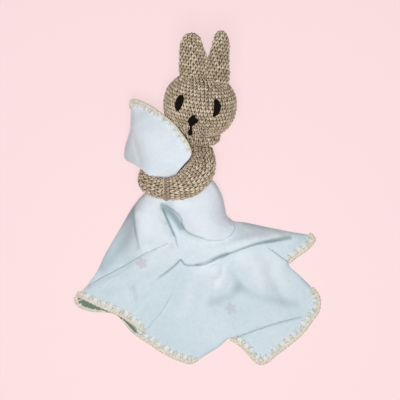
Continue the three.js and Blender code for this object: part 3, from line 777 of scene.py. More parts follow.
# Muslin: one 300 mm square of white double gauze, pulled by a corner through the ring of the arms.
# It is laid out here as the photograph shows it: the flap above the hands, the skirt below them,
# with its folds, and the layers that are turned under. Millimetres on the floor plan of the arms.
skirt_outline = [
    [-63, 10], [-75, -2], [-92, -28], [-111, -61], [-121, -82], [-134.5, -101], [-143, -109.5],
    [-146, -116.5], [-138, -125.5], [-126, -129.5], [-110, -130], [-99, -133], [-92.5, -138],
    [-86.5, -145.5], [-76.5, -156], [-61, -166], [-36, -180], [-10, -188], [8, -179],
    [21, -171], [35, -160], [45, -166], [56, -176], [65, -186], [71, -189], [79, -186], [98, -169],
    [117, -153], [130, -139], [138, -127], [138, -111], [131, -101], [116, -86], [104, -74], [114, -66],
    [125, -58], [133, -48], [132, -41], [128, -39], [108, -36], [78, -30], [55, -25], [43, -23.9],
    [38.8, -23.2], [36, -21.2], [31, -15.5], [29, -6], [25, 8], [14, 24], [-10, 30], [-40, 26],
]
skirt_heights = [
    [-60, 12, 38], [-45, 20, 43], [-30, 12, 46], [-8, 20, 44], [12, 22, 40], [26, 8, 32], [28, -8, 26],
    [-30, -8, 45], [-5, -4, 46], [14, -2, 43], [20, -20, 36], [31, -18, 20],
    [-75, -2, 24], [-92, -28, 5], [-73, -14, 37], [-71, -30, 36], [-69, -45, 32], [-66, -58, 26],
    [-83, -25, 18], [-88, -50, 12], [-57, -14, 40], [-56, -34, 36], [-60, -52, 27], [-48, -12, 41],
    [-42, -30, 37], [-34, -45, 31], [-39, -13, 30], [-33.5, -26, 25], [-27.5, -40, 22], [-28, -14, 38],
    [-23, -26, 33], [-22, -8, 45], [-14, -22, 43],
    [2, -36, 36], [22, -32, 33], [34, -28, 24], [44, -30, 13], [2, -52, 25], [30, -46, 19], [55, -25, 5],
    [78, -30, 4], [108, -35, 3.4], [60, -42, 15], [90, -40, 12], [112, -40, 8], [-111, -61, 3.6],
    [-92, -66, 8], [-108, -84, 6], [-132, -104, 5], [-85, -88, 12], [-30, -80, 13],
    [11, -82, 15], [48, -68, 16], [40, -84, 14], [62, -84, 13], [80, -56, 10], [-60, -120, 8],
    [-20, -130, 7.5], [20, -120, 8.5],
    [60, -110, 9], [100, -110, 6], [60, -150, 5], [0, -160, 5], [-120, -115, 7], [-90, -128, 7],
    [-64, -146, 6], [36, -163, 6], [138, -118, 3], [104, -74, 5],
]

# Where a layer ends on top of another: its edge line, how far it stands over the lower layer, how
# far back it stays raised, how far along the line it comes up from nothing and goes back to it, and
# how far the edge is folded over. The upper layer is left of the line, or right of it with flip, and
# spread makes the edge wider.
layer_edges = {
    "band": dict(
        line=[
            (-58, -97), (-46.6, -88.9), (-35.6, -80.8), (-28, -74.4), (-22.2, -68.7), (-18, -74.3),
            (-11.7, -75.7), (-2.7, -75.2), (5.8, -74.4), (14, -70.9), (22.2, -66.2), (31.5, -62.7),
            (42, -59), (51.4, -55.5), (61.2, -52.2), (68.9, -49.8), (76.8, -48.1), (87.6, -46.5),
            (98.2, -45.1), (110, -42.5),
        ],
        height=9, reach=13, start=0.25, end=0.3, over=0.3, spread=1.6,
    ),
    "right": dict(
        line=[(75.5, -51.6), (77.9, -53.8), (83.2, -58.5), (93.1, -66.1), (103.6, -73.7), (112.3, -81.9)],
        height=5, reach=16, start=0.3, end=0.35, flip=True, over=1.2,
    ),
    "left_lobe": dict(
        line=[
            (-26.9, -97), (-33.3, -108.7), (-38.5, -118), (-43.2, -126.1), (-49, -133.6), (-54.8, -140),
            (-60.6, -147.5), (-66.4, -153.9),
        ],
        height=2.8, reach=18, start=0.5, end=0.02, flip=True, over=0.6,
    ),
    "front": dict(
        line=[
            (8, -178), (18, -172), (28, -165), (36.1, -161.4), (45.4, -157.4), (55.9, -153.9),
            (65.9, -150.4), (75.8, -147), (90.4, -141.8), (102.7, -138.9), (114.4, -135.4), (127.2, -130.7),
        ],
        height=5, reach=20, start=0.2, end=0.5, over=0.5,
    ),
    "bulge": dict(
        line=[
            (-41, -6.5), (-31.2, -12), (-24.5, -17.5), (-21.4, -22), (-20.5, -29), (-15.8, -36),
            (-6.9, -41.4), (0, -43.5), (10.4, -47), (22, -47.2), (30, -45), (36.5, -39.5), (40.6, -32),
            (38.6, -26),
        ],
        height=3.4, reach=12, start=0.1, end=0.04, over=0.1,
    ),
    "plateau": dict(
        line=[(-77, -10), (-76.2, -21.3), (-75.1, -31.1), (-73.7, -39.7), (-71.7, -48.5), (-69, -58)],
        height=1.6, reach=8, start=0.2, end=0.5, over=0.0, spread=1.6,
    ),
    "crease": dict(
        line=[(-44.2, -5.7), (-39.9, -18.6), (-29.6, -41.2), (-27.5, -48.8), (-24.7, -59.8)],
        height=5, reach=8, start=0.25, end=0.3, flip=True, over=0.3,
    ),
    "diagonal": dict(
        line=[(-29.3, -48.5), (-62.9, -62.9), (-91, -78.4), (-122, -94.5), (-135.8, -102.8)],
        height=4.4, reach=10, start=0.08, end=0.2, over=0.8,
    ),
}

# Soft folds: a line, its height, negative for a hollow, and its width to either side.
soft_folds = [
    ([(-120.6, -104.8), (-100.9, -88.5)], 0.8, 1.3),
    ([(-115.9, -107.5), (-96.9, -91.2)], 0.9, 1.3),
    ([(-110, -107.5), (-93.4, -93.5)], 0.7, 1.2),
    ([(-84, -96), (-83, -108), (-80, -124)], -1.2, 2),
    ([(-77, -94), (-75, -108), (-70, -122)], -1, 2.2),
    ([(12.5, -73), (16.5, -84), (17, -92)], 3, 8),
    ([(30, -67.5), (25, -87), (11, -104)], -2, 3.5),
    ([(36.5, -62), (45, -81), (55.5, -102)], -1.8, 4.5),
    ([(-45, -72), (-75, -86), (-105, -100)], 1.4, 7),
    ([(-15.2, -77.2), (-11.7, -94.7), (-12.8, -115.6), (-18.6, -141.1)], -2, 7),
    ([(4.7, -76.1), (9.3, -98.2), (5.8, -121.4), (-4.6, -152.6)], 2.5, 9),
    ([(30.4, -66.7), (37.3, -86.6), (32.6, -111), (20.9, -141.1)], -2.4, 8),
    ([(58.5, -57.4), (67.8, -80.7), (72.3, -106.3), (72.2, -129.5)], 3, 11),
    ([(72.6, -71.4), (91.1, -98.2), (100.3, -115.6), (116.6, -124.9)], -2.4, 8),
    ([(-18, -58), (-4.7, -62.3), (14, -58.8), (32.6, -53), (58.2, -45), (87.4, -41.5), (112, -40.6)], 5, 7.5),
    ([(-60, -100), (-85, -112), (-120, -118)], 1.6, 9),
    ([(-52, -104), (-66, -122), (-80, -134)], -1.8, 5),
]
# Where the folds hold soft light: a line, its tone, negative for shade, and its width to either side.
soft_lights = [
    ([(-41, -9), (-34.5, -14), (-28.5, -21), (-22, -30.5)], -0.95, 4.6),
    ([(-22, -30), (-13.8, -38.5), (2, -44)], -0.35, 2.6),
    ([(-44.2, -5.7), (-39.9, -18.6), (-29.6, -41.2)], -0.5, 1.7),
    ([(-46.6, -88.9), (-28, -74.4), (-22.2, -68.7), (-18, -74.3), (-2.8, -75)], -0.5, 1.6),
    ([(-66, 6), (-76, -4), (-93, -30), (-112, -62), (-134, -100), (-142, -108)], -0.45, 3.2),
    ([(36, -21), (55, -25), (78, -30), (108, -36), (128, -39)], -0.6, 3),
    ([(105, -75), (117, -87), (132, -102), (137, -111)], -0.4, 4),
    ([(-8, -186), (8, -178), (21, -170), (34, -160)], -0.35, 2.5),
    ([(-42.5, -10.2), (-36.8, -26.1), (-31.1, -39.8)], -0.35, 3),
    ([(-2.8, -75.0), (11.2, -70.7), (19.6, -66.8), (27.9, -64.0), (39.5, -60.0), (47.5, -56.7),
      (61.5, -52.0), (75.0, -48.6), (87.5, -46.3), (105.1, -42.8)], -0.95, 2.9),
    ([(24.4, -65.4), (31.2, -62.9)], -0.6, 2.2),
    ([(77.1, -48.5), (86.1, -46.8)], -0.6, 1.8),
    ([(8, -79), (24, -80), (20, -96)], 0.8, 8.5),
    ([(46, -66), (68, -68), (74, -90)], 0.65, 15),
    ([(90, -74), (100, -96)], 0.35, 11),
    ([(-4.7, -83.1), (-9.3, -104.0), (-16.4, -121.5), (-23.3, -134.2)], 0.4, 9),
    ([(-23.9, -5.4), (-3.4, -7.6)], 0.7, 5),
    ([(-11.4, -26.7), (16.6, -38.8)], 0.45, 9),
    ([(-59.5, -7.1), (-57.4, -41.1)], 0.4, 10),
    ([(34.9, -77.3), (44.3, -98.2), (35.0, -111.0), (12.5, -119.1)], -0.4, 7),
    ([(46.6, -101.7), (64.7, -109.8), (89.4, -116.4), (111.1, -119.7)], -0.4, 7),
    ([(-77.4, -101.7), (-74.2, -114.8)], -0.35, 3.2),
    ([(-108.6, -106.7), (-79.1, -98.2)], -0.2, 6),
    ([(-113.9, -78.3), (-96.2, -59.6), (-82.5, -41.5), (-79.9, -17.5)], -0.5, 8),
    ([(-128.8, -100.1), (-95.5, -85.4), (-73.7, -71.0), (-50.6, -58.2)], -0.35, 2.5),
    ([(-77.2, -7.9), (-77.7, -19.3), (-74.5, -33.6), (-72.5, -44.6), (-71.6, -55.7)], -0.5, 3.3),
    ([(114.8, -78.7), (127.8, -96.7)], -0.4, 3.5),
    ([(37.0, -162.2), (67.9, -148.9), (101.0, -140.1), (117.5, -136.0)], -0.5, 2.2),
    ([(41.9, -36.8), (54.0, -29.2), (72.8, -31.5)], -0.25, 6),
    ([(-19.6, -33.9), (-4.6, -45.4), (11.5, -50.0), (28.9, -48.7)], -0.22, 3),
]
flap_outline = [
    [-9.8, 50], [-13, 60], [-19, 69], [-28, 81], [-37, 90], [-48, 99], [-57, 105.5], [-69, 112], [-76, 114.4],
    [-79.4, 113], [-80.6, 109], [-80.4, 97.3], [-80.9, 83], [-83.6, 75], [-88.4, 65], [-89.6, 57.5],
    [-89.2, 52], [-85.6, 46.8], [-75, 40], [-67.5, 34], [-62, 28.5], [-56, 24.8], [-48, 21],
    [-38, 17.5], [-31, 22], [-24, 31], [-17.5, 38.5], [-12, 44.5],
]
flap_heights = [
    [-78, 113, 42], [-62, 107, 49], [-45, 95, 56], [-27, 76, 62], [-18, 65, 64], [-11, 54, 60], [-15, 40, 56],
    [-24, 24, 51], [-32, 14, 48], [-46, 12, 47], [-54, 24, 51], [-64, 34, 47], [-84, 47, 22], [-88, 57, 18],
    [-86, 68, 24], [-81, 82, 42], [-79, 100, 42], [-62, 82, 54], [-42, 62, 58], [-34, 44, 56], [-56, 44, 54],
    [-68, 62, 50], [-68, 96, 49], [-48, 80, 58], [-62, 34, 49], [-74, 88, 47], [-73, 70, 48],
]
flap_folds = [
    ([(-84, 118), (-83.5, 100), (-84, 80), (-88, 70), (-93, 56), (-87, 42)], -12, 4.5),
    ([(-82.4, 72.7), (-76, 67), (-72.5, 54), (-66.7, 36)], -2, 3),
    ([(-50, 37), (-37, 33.5), (-20, 31)], 1.6, 3.5),
    ([(-40, 88), (-30, 74), (-21, 62), (-15, 52)], -1.6, 2.5),
    ([(-70, 100), (-58, 76), (-46, 54)], 2, 14),
]


def nearest_on(line, spots):
    """For each spot: how far it is from a line, on which side (+ is left of its way), and how far along."""
    knots = np.array(line, float)
    lengths = np.linalg.norm(np.diff(knots, axis=0), axis=1)
    starts = running(lengths)
    best = np.full(len(spots), 1e9)
    side = np.zeros(len(spots))
    along = np.zeros(len(spots))
    beside = np.zeros(len(spots))
    for start, end, length, run in zip(knots, knots[1:], lengths, starts):
        way = (end - start) / length
        offset = spots - start
        t = np.clip(offset @ way, 0, length)
        gap = np.linalg.norm(offset - t[:, None] * way, axis=1)
        cross = way[0] * offset[:, 1] - way[1] * offset[:, 0]
        nearer = (gap < best - 1e-9) | ((gap < best + 1e-9) & (np.abs(cross) > beside))
        beside = np.where(nearer, np.abs(cross), beside)
        best = np.where(nearer, gap, best)
        side = np.where(nearer, np.sign(cross), side)
        along = np.where(nearer, (run + t) / starts[-1], along)
    return best, side, along


def eased(value):
    value = np.clip(value, 0, 1)
    return value * value * (3 - 2 * value)


def edge_fade(edge, along):
    """How much of an edge stands up, at each share of the way along it."""
    return eased(along / edge["start"]) * eased((1 - along) / edge["end"])


def light_held(spots):
    """How light (+) or shaded (-) the folds are at each spot."""
    light = np.zeros(len(spots))
    for line, tone, width in soft_lights:
        light += tone * np.exp(-((nearest_on(line, spots)[0] / width) ** 2))
    return np.clip(light, -1, 1)


def smooth_level(spots, heights, softness=0.002):
    """A smooth surface past spot heights, bent like a thin plate: it may miss them a little."""
    table = np.array(heights, float)
    knots = table[:, :2] / 100

    def plate(places):
        gap = np.linalg.norm(places[:, None] - knots[None], axis=2)
        return gap**2 * np.log(np.maximum(gap, 1e-9))

    count = len(table)
    plane = np.column_stack([np.ones(count), knots])
    system = np.block([[plate(knots) + softness * np.eye(count), plane], [plane.T, np.zeros((3, 3))]])
    weights = np.linalg.solve(system, np.concatenate([table[:, 2], np.zeros(3)]))
    places = spots / 100
    return plate(places) @ weights[:count] + weights[count] + places @ weights[count + 1:]


def cloth_level(spots, heights, folds, edges):
    """The height of the upper layer at each spot of the floor plan."""
    level = smooth_level(spots, heights)
    for line, height, width in folds:
        gap, _, along = nearest_on(line, spots)
        fade = eased(np.minimum(along, 1 - along) * 4)
        level = level + height * fade * np.exp(-((gap / width) ** 2))
    for edge in edges.values():
        gap, side, along = nearest_on(edge["line"], spots)
        upper = side > 0 if not edge.get("flip") else side < 0
        fade = edge_fade(edge, along)
        over = edge["height"] * fade * np.exp(-gap / edge["reach"])
        sunk = -0.35 * edge["height"] * fade * np.exp(-gap / (0.5 * edge["reach"]))
        level = level + np.where(upper, over, sunk)
    return level


# The upper lobe was crumpled in the hand, along this line.
crumpled_line = [(44, -34), (70, -38), (100, -39), (122, -42)]


def wrinkled(spots, strength):
    """Fine wrinkles of the gauze, finer across than along."""
    return np.array(
        [
            noise.noise((x * 0.05, y * 0.05, 3.1)) * 1.3
            + noise.noise((x * 0.12 + 0.04 * y, y * 0.1, 7.7)) * 0.55
            + noise.noise((x * 0.33, y * 0.27, 1.3)) * 0.3
            for x, y in spots
        ]
    ) * strength


# The hem stretches that show, each from one end to the other with the cloth on its left.
hem_pitch = 9.2
hems = {
    "top_corner": [
        (-9.2, 51.2), (-12.8, 61.2), (-19, 70.2), (-28, 82.3), (-37.3, 91.1), (-49.6, 101), (-56.9, 106.6),
        (-69.5, 113), (-76.6, 115.4), (-80.2, 114), (-81.4, 110.5), (-81.1, 104.5),
    ],
    "left": [
        (-143, -105.5), (-145, -110.5), (-137.5, -114.8), (-128.2, -119.1), (-119.1, -123.5),
        (-109.8, -127.5), (-101.5, -131.3), (-92.7, -135.4), (-85.2, -140), (-78.5, -145),
        (-71.7, -149.3), (-65.7, -152.8),
    ],
    "left_under": [
        (-147.6, -112.5), (-145.4, -120.5), (-137.3, -126.4), (-127.6, -128.5), (-119.4, -129.6),
        (-110, -130),
    ],
    "front_left": [
        (-92, -138.5), (-87.7, -143.6), (-76, -155.8), (-64.5, -163.6), (-53.7, -170.9), (-43.2, -177.6),
        (-32.7, -183), (-21.9, -187.4), (-10.6, -189.9), (-2.3, -186),
    ],
    "front_corner": [
        (34.9, -162.6), (44.9, -168.2), (55.1, -178.3), (63.9, -187.6), (71.5, -190.9), (80.3, -187.6),
        (86.7, -182.1), (103.2, -169.5), (119.8, -155.7), (132.6, -139.3), (139.6, -129.2), (141.2, -119.2),
        (140, -110.3), (132.9, -100.4),
    ],
    "right_corner": [
        (105.5, -73.1), (114.2, -65.8), (126.9, -57), (135.7, -46.8), (134.5, -40.6), (129.6, -36.6),
    ],
}


def even_line(corners, step):
    """Points at even steps along an open curve through its corners."""
    line = smooth_route([(x, y, 0) for x, y in corners], 400)[:, :2]
    run = distances(line)
    return points_at(line, run, np.linspace(0, run[-1], max(int(run[-1] / step), 2))), run[-1]


# The hem swells between the stitches: how far in from its line, and how wide the swelling is.
swelling_middle = 5.4
swelling_width = 2.1


def hem_puffs(spots, names):
    """The hem swells between the blanket stitches."""
    puff = np.zeros(len(spots))
    for name in names:
        line, length = even_line(hems[name], 4)
        gap, side, along = nearest_on(line, spots)
        swelling = np.exp(-(((gap - swelling_middle) / swelling_width) ** 2))
        inside = (side > 0) * (along > 0.01) * (along < 0.99)
        puff += swelling * inside * (1.7 * np.abs(np.sin(math.pi * along * length / hem_pitch)) - 0.3)
    return puff


def left_of(way):
    """The direction to the left of each step on the floor plan."""
    side = np.stack([-way[:, 1], way[:, 0]], axis=1)
    return side / np.linalg.norm(side, axis=1, keepdims=True)


def from_rim(loop, spots):
    """How far each spot is from a closed line."""
    return nearest_on(np.concatenate([loop, loop[:1]]), spots)[0]


def inside_loop(loop, spots):
    """Which spots lie inside a closed line."""
    within = np.zeros(len(spots), bool)
    for (x0, y0), (x1, y1) in zip(loop, np.roll(loop, -1, axis=0)):
        crosses = (y0 > spots[:, 1]) != (y1 > spots[:, 1])
        at = x0 + (spots[:, 1] - y0) / (y1 - y0 if y1 != y0 else 1e-9) * (x1 - x0)
        within ^= crosses & (spots[:, 0] < at)
    return within


def carried(spots):
    """How high the left arm reaches at each spot, where the cloth lies over it."""
    top = np.zeros(len(spots))
    line = smooth_route(arm_left_route, 40)
    along = np.linspace(0, len(arm_left_radii) - 1, 40)
    radius = np.interp(along, np.arange(len(arm_left_radii)), arm_left_radii)
    for middle, reach in zip(line[:24], radius):
        gap = np.linalg.norm(spots - middle[:2], axis=1)
        ball_top = middle[2] + np.sqrt(np.clip(reach**2 - gap**2, 0, None))
        top = np.maximum(top, np.where(gap < reach, ball_top, 0))
    return top


# The cloth's thickness, the steps between the points of its rim and of its surface, how far the rim
# of its upper and of its lower side lie in from its outline, and the rows of points between the two.
gauze_thickness = 0.6
rim_pitch = 1.5
point_pitch = 1.6
rim_inset = 0.9
under_inset = 1.2
roll_rows = 5


def spots_inside(loop, wide, tall, shift, margin):
    """Evenly spread spots inside a closed line, every other row shifted, none nearer to it than a margin."""
    low, high = loop.min(axis=0), loop.max(axis=0)
    rows = enumerate(np.arange(low[1], high[1], tall))
    spots = np.array([(x + (i % 2) * shift, y) for i, y in rows for x in np.arange(low[0], high[0], wide)])
    spots = spots[inside_loop(loop, spots)]
    return spots[from_rim(loop, spots) > margin]


def faces_over(plan, count):
    """Triangles over the points of a floor plan, the first of which, so many, go round its rim."""
    made = delaunay_2d_cdt([Vector(p) for p in plan.tolist()], [], [list(range(count))], 1, 1e-5)
    origin = [ids[0] if ids else -1 for ids in made[3]]
    faces = [[origin[i] for i in face] for face in made[2]]
    return [face for face in faces if min(face) >= 0]


def between(first, second, count):
    """Faces between two rings of so many points, which start at these numbers."""
    ring = [(i, (i + 1) % count) for i in range(count)]
    return [[first + i, second + i, second + beside, first + beside] for i, beside in ring]


# The rows of points across an edge: where each stands on the plan, how far it swings in or out when
# the layer is folded over, and its share of the way from the lower layer up to the upper one.
edge_rows = (
    (1.4, 1.0, 1.0), (0.95, 0.1, 0.96), (0.5, -0.8, 0.84), (0.05, -1.2, 0.6), (-0.4, -0.6, 0.33),
    (-0.85, 1.0, 0.14), (-1.3, 1.6, 0.03), (-1.75, -1.4, 0.0),
)


def laid(outline, level, edges, under, opening):
    """A layer of cloth with its edge turned under: the points, the plan places and the faces."""
    loop = rounded_loop(outline, int(distances(np.array(outline))[-1] / rim_pitch))
    if (loop[:, 0] * np.roll(loop[:, 1], -1) - np.roll(loop[:, 0], -1) * loop[:, 1]).sum() < 0:
        loop = loop[::-1]
    inward = left_of(np.roll(loop, -1, axis=0) - np.roll(loop, 1, axis=0))
    rim = loop + inward * rim_inset
    plan = [rim]
    final = [np.column_stack([rim, level(rim)])]
    kept = []
    for edge in edges.values():
        line, _ = even_line(edge["line"], 1.4)
        side = left_of(np.gradient(line, axis=0)) * (-1 if edge.get("flip") else 1)
        fade = edge_fade(edge, np.linspace(0, 1, len(line)))
        free = (from_rim(loop, line) > 2.6) & inside_loop(loop, line)
        for other, wide in kept:
            free &= nearest_on(other, line)[0] > 1.7 + 1.7 * wide
        line, side, fade = line[free], side[free], fade[free][:, None]
        spread = edge.get("spread", 1)
        upper = level(line + side * 1.6 * spread)[:, None]
        lower = level(line - side * 1.6 * spread)[:, None]
        for offset, swing, share in edge_rows:
            offset = offset * spread
            plan.append(line + side * offset)
            bent = line + side * (offset + (swing - offset) * fade * edge["over"])
            final.append(np.column_stack([bent, lower + (upper - lower) * share]))
        kept.append((line, spread))
    grid = spots_inside(loop, point_pitch, point_pitch * 0.866, point_pitch / 2, 1.9)
    for line, wide in kept:
        grid = grid[nearest_on(line, grid)[0] > 2.1 * wide]
    plan.append(grid)
    final.append(np.column_stack([grid, level(grid)]))
    plan, final = np.concatenate(plan), np.concatenate(final)
    count = len(loop)
    faces = faces_over(plan, count)
    points = [final]
    places = [plan]
    previous, total = 0, len(final)
    top_edge = final[:count, 2]
    base = under(loop)
    for row in range(1, roll_rows + 1):
        share = row / (roll_rows + 1)
        out = math.sin(math.pi * share)
        ring = loop + inward * (rim_inset - rim_inset * out)
        height = top_edge + (base - top_edge) * (1 - math.cos(math.pi * share)) / 2
        points.append(np.column_stack([ring, height]))
        places.append(ring)
        faces += between(previous, total, count)
        previous, total = total, total + count
    rim = loop + inward * under_inset
    plan = np.concatenate([rim, spots_inside(loop, 4.8, 4.5, 2.2, 3.5)])
    points.append(np.column_stack([plan, under(plan)]))
    places.append(plan)
    for corners in faces_over(plan, count):
        if np.linalg.norm(plan[corners].mean(axis=0) - opening[:2]) >= opening[2]:
            faces.append([total + i for i in reversed(corners)])
    faces += between(previous, total, count)
    return np.concatenate(points), np.concatenate(places), faces


skirt_loop = rounded_loop(skirt_outline, 400)
skirt_hems = ("left", "left_under", "front_left", "front_corner", "right_corner")


# The cloth comes down to its rim in a round of this radius, to this height, and its hem lies low.
rim_radius = 7
rim_height = 1.4
low_hem = [[x, y, 2.4] for x, y in skirt_outline[4:36]]
thinnest_fold = 1.9
skirt_underside = 0.35


def skirt_level(spots):
    level = cloth_level(spots, skirt_heights + low_hem, soft_folds, layer_edges)
    crumpled = np.exp(-((nearest_on(crumpled_line, spots)[0] / 13) ** 2))
    level = level + wrinkled(spots, 0.55 + 1.3 * crumpled)
    share = np.clip(from_rim(skirt_loop, spots) / rim_radius, 0, 1)
    fall = 0.35 + 0.65 * np.sqrt(1 - (1 - share) ** 2)
    level = rim_height + (np.maximum(level, 2.0) - rim_height) * fall
    return np.maximum(level + hem_puffs(spots, skirt_hems), thinnest_fold)


# The flap keeps this far over the arm that it lies on, and goes over to it in a round.
flap_clearance = 3.4
flap_rounding = 5
flap_thickness = 2.4


def flap_level(spots):
    level = cloth_level(spots, flap_heights, flap_folds, {}) + wrinkled(spots, 0.25)
    level = level + hem_puffs(spots, ("top_corner",))
    lifted = carried(spots) + flap_clearance
    return (level + lifted + np.hypot(level - lifted, flap_rounding)) / 2


# Where the cloth goes through the ring its underside stays open: the middle and the radius.
skirt_opening = (-16, 2, 17)
flap_opening = (-32, 30, 10)

skirt = laid(
    skirt_outline, skirt_level, layer_edges, lambda spots: np.full(len(spots), skirt_underside), skirt_opening
)
flap = laid(flap_outline, flap_level, {}, lambda spots: flap_level(spots) - flap_thickness, flap_opening)
muslin_points = np.concatenate([skirt[0], flap[0]])
muslin_places = np.concatenate([skirt[1], flap[1]])
muslin_faces = skirt[2] + [[len(skirt[0]) + i for i in face] for face in flap[2]]

# Deep shade under the turned hem: the middle of each strip, its turn, half its length and half its width.
under_hem = [(-127, -122.8, -0.41, 25, 4.6), (-85, -144.5, -0.76, 17, 5)]
gauze_pitch = 0.075
gauze, tree, shader = finish_called("white double gauze", roughness=0.92, specular=0.12)
shader.inputs["Sheen Weight"].default_value = 0.08
shader.inputs["Sheen Roughness"].default_value = 0.5
place = object_place(tree)
across = map_place(tree)
down = map_place(tree, 1)
warp, weft = [(way * (math.tau / gauze_pitch)).sine().absolute() for way in (across, down)]
weave = warp.most(weft)
crinkle = noisy(tree, place, 230.0, 4.0, 0.6, 0.6)
cells = node(tree, "ShaderNodeTexVoronoi", {"feature": "SMOOTH_F1"}, Vector=place, Scale=260.0)
cloudy = noisy(tree, place, 14.0)
cloth_tone = (crinkle * 0.5 + cloudy * 0.6).step(0.3, 0.8)
# Painted light and shade: the cloth is coloured lighter the higher it lies, and darker and bluer where it
# lies low near the floor.
low_cloth_painted_shade = blended(tree, cloth_tone, (0.60, 0.70, 0.755, 1), (0.715, 0.80, 0.85, 1))
high_cloth_painted_light = blended(tree, cloth_tone, (0.72, 0.785, 0.845, 1), (0.80, 0.86, 0.91, 1))
height = node(tree, "ShaderNodeSeparateXYZ", None, place, out=2)
cloth_colour = blended(tree, height.step(0.006, 0.04), low_cloth_painted_shade, high_cloth_painted_light)
# Painted light and shade along the folds: the soft_light attribute lightens or darkens the cloth's colour.
painted_fold_light = node(tree, "ShaderNodeAttribute", {"attribute_name": "soft_light"}, out=2)
cloth_colour = blended(tree, painted_fold_light.step(0, 1) * 0.8, cloth_colour, (0.83, 0.87, 0.92, 1))
cloth_colour = blended(tree, (0 - painted_fold_light).step(0, 1) * 0.85, cloth_colour, (0.33, 0.43, 0.46, 1))
for shade_x, shade_y, turn, long, wide in under_hem:
    from_x = across * 10 - shade_x
    from_y = down * 10 - shade_y
    far_along = (from_x * math.cos(turn) + from_y * math.sin(turn)) * (1 / long)
    far_off = (from_y * math.cos(turn) - from_x * math.sin(turn)) * (1 / wide)
    share = 1 - (far_along * far_along + far_off * far_off).step(0.5, 1.3)
    cloth_colour = blended(tree, share * 0.85, cloth_colour, (0.10, 0.16, 0.09, 1))
for blossom_x, blossom_y in ((-67.3, -73.2), (36, -125.4)):
    from_x = across * 10 - blossom_x
    from_y = down * 10 - blossom_y
    far = (from_x * from_x + from_y * from_y) ** 0.5
    angle = node(tree, "ShaderNodeMath", {"operation": "ARCTAN2"}, from_y, from_x)
    petal = (angle * 2.5).sine().absolute() * 3.2 + 3.8
    share = 1 - (far - petal).step(-1.6, 1.6)
    cloth_colour = blended(tree, share * 0.45, cloth_colour, (0.56, 0.46, 0.55, 1))
feed(shader, "Base Color", cloth_colour)
crumpled = in_relief(tree, crinkle + cells * 0.5, 0.35, 0.0006)
feed(shader, "Normal", in_relief(tree, weave, 0.25, 0.0002, Normal=crumpled))

muslin = mesh_piece("muslin", (muslin_points + arm_shift) / 1000, muslin_faces, gauze)
add_uv(muslin, "threads", muslin_places / 10)
light_of_points = np.concatenate([light_held(skirt[1]), np.zeros(len(flap[1]))])
muslin.data.attributes.new("soft_light", "FLOAT", "POINT").data.foreach_set("value", light_of_points)
picked(muslin)
wall = muslin.modifiers.new("thickness of the gauze", "SOLIDIFY")
wall.thickness = gauze_thickness / 1000
wall.offset = -1
bpy.ops.object.modifier_apply(modifier=wall.name)
kept_off_floor(muslin)
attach(muslin, "hug")
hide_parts("muslin_cloth")


# Border: the hem is bound with a cream cotton cord, crocheted on with long blanket stitches that
# reach over the hem every 9 mm. One repeat is modelled and laid along each stretch that shows.
border_yarn, tree, shader = finish_called("cream cotton cord", roughness=0.88, specular=0.15)
place = object_place(tree)
fibres = noisy(tree, place, 2200.0, 3.0, 0.65)
cloudy = noisy(tree, place, 420.0, 1.0)
strands = (map_place(tree) * math.tau).sine() * 0.5 + 0.5
tone = (fibres * 0.3 + cloudy * 0.8 + strands * 0.15).step(0.35, 0.85)
feed(shader, "Base Color", blended(tree, tone, (0.66, 0.60, 0.45, 1), (0.94, 0.88, 0.76, 1)))
feed(shader, "Normal", in_relief(tree, strands + fibres * 0.6, 0.6))

# The cord over one repeat, in millimetres across and up from the hem line, with two soft beads.
cord_middle = 2.1
cord_rise = 0.9
cord_half_width = 2.3
cord_half_height = 1.6
bpy.ops.mesh.primitive_cylinder_add(
    vertices=10, radius=1, depth=1, rotation=(0, math.pi / 2, 0), end_fill_type="NOTHING"
)
bpy.ops.object.transform_apply(location=False, rotation=True, scale=False)
cut_across((1, 0, 0), [number / 8 - 0.5 for number in range(1, 8)])
cord_points, cord_faces = taken_apart(bpy.context.object)
beads = 1 + 0.12 * np.cos(4 * math.pi * cord_points[:, 0])
cord_points[:, 1] = cord_middle + cord_points[:, 1] * cord_half_width * beads
cord_points[:, 2] = cord_points[:, 2] * cord_half_height * beads + cord_rise

# A spoke of the blanket stitch, across the hem. A sphere's faces come in any order: they are sorted.
spoke_middle = 5.4
spoke_reach = 4.2
bpy.ops.mesh.primitive_uv_sphere_add(segments=8, ring_count=8, radius=1, rotation=(math.pi / 2, 0, 0))
bpy.ops.object.transform_apply(location=False, rotation=True, scale=False)
spoke_points, spoke_faces = taken_apart(bpy.context.object)
spoke_faces.sort()
reach = spoke_points[:, 1].copy()
blunt = (1 - reach**6).clip(0) ** 0.5 / np.maximum((1 - reach**2).clip(1e-6) ** 0.5, 1e-3)
spoke_points[:, 0] = spoke_points[:, 0] * 0.17 * np.minimum(blunt, 2.2) + 0.03 * reach
spoke_points[:, 2] = spoke_points[:, 2] * 1.1 * np.minimum(blunt, 2.2) + 1.0 + 0.5 * (1 - reach**2)
spoke_points[:, 1] = spoke_middle + spoke_reach * reach

puff_yarn, tree, shader = finish_called("white puffs of the border", roughness=0.92, specular=0.12)
fibres = noisy(tree, object_place(tree), 1500.0, 3.0, 0.65)
feed(shader, "Base Color", blended(tree, fibres, (0.70, 0.74, 0.76, 1), (0.86, 0.88, 0.89, 1)))
feed(shader, "Normal", in_relief(tree, fibres, 0.5))

bpy.ops.mesh.primitive_uv_sphere_add(segments=10, ring_count=8, radius=1)
puff_points, puff_faces = taken_apart(bpy.context.object)
puff_faces.sort()
puff_points = puff_points / (np.abs(puff_points)**2.6).sum(axis=1, keepdims=True) ** (1 / 2.6)
puff_points[:, 0] *= 1.05 - 0.35 * puff_points[:, 1]
puff_points = puff_points * (0.31, 4.0, 1.4) + (0.5, 6.6, 0.5)

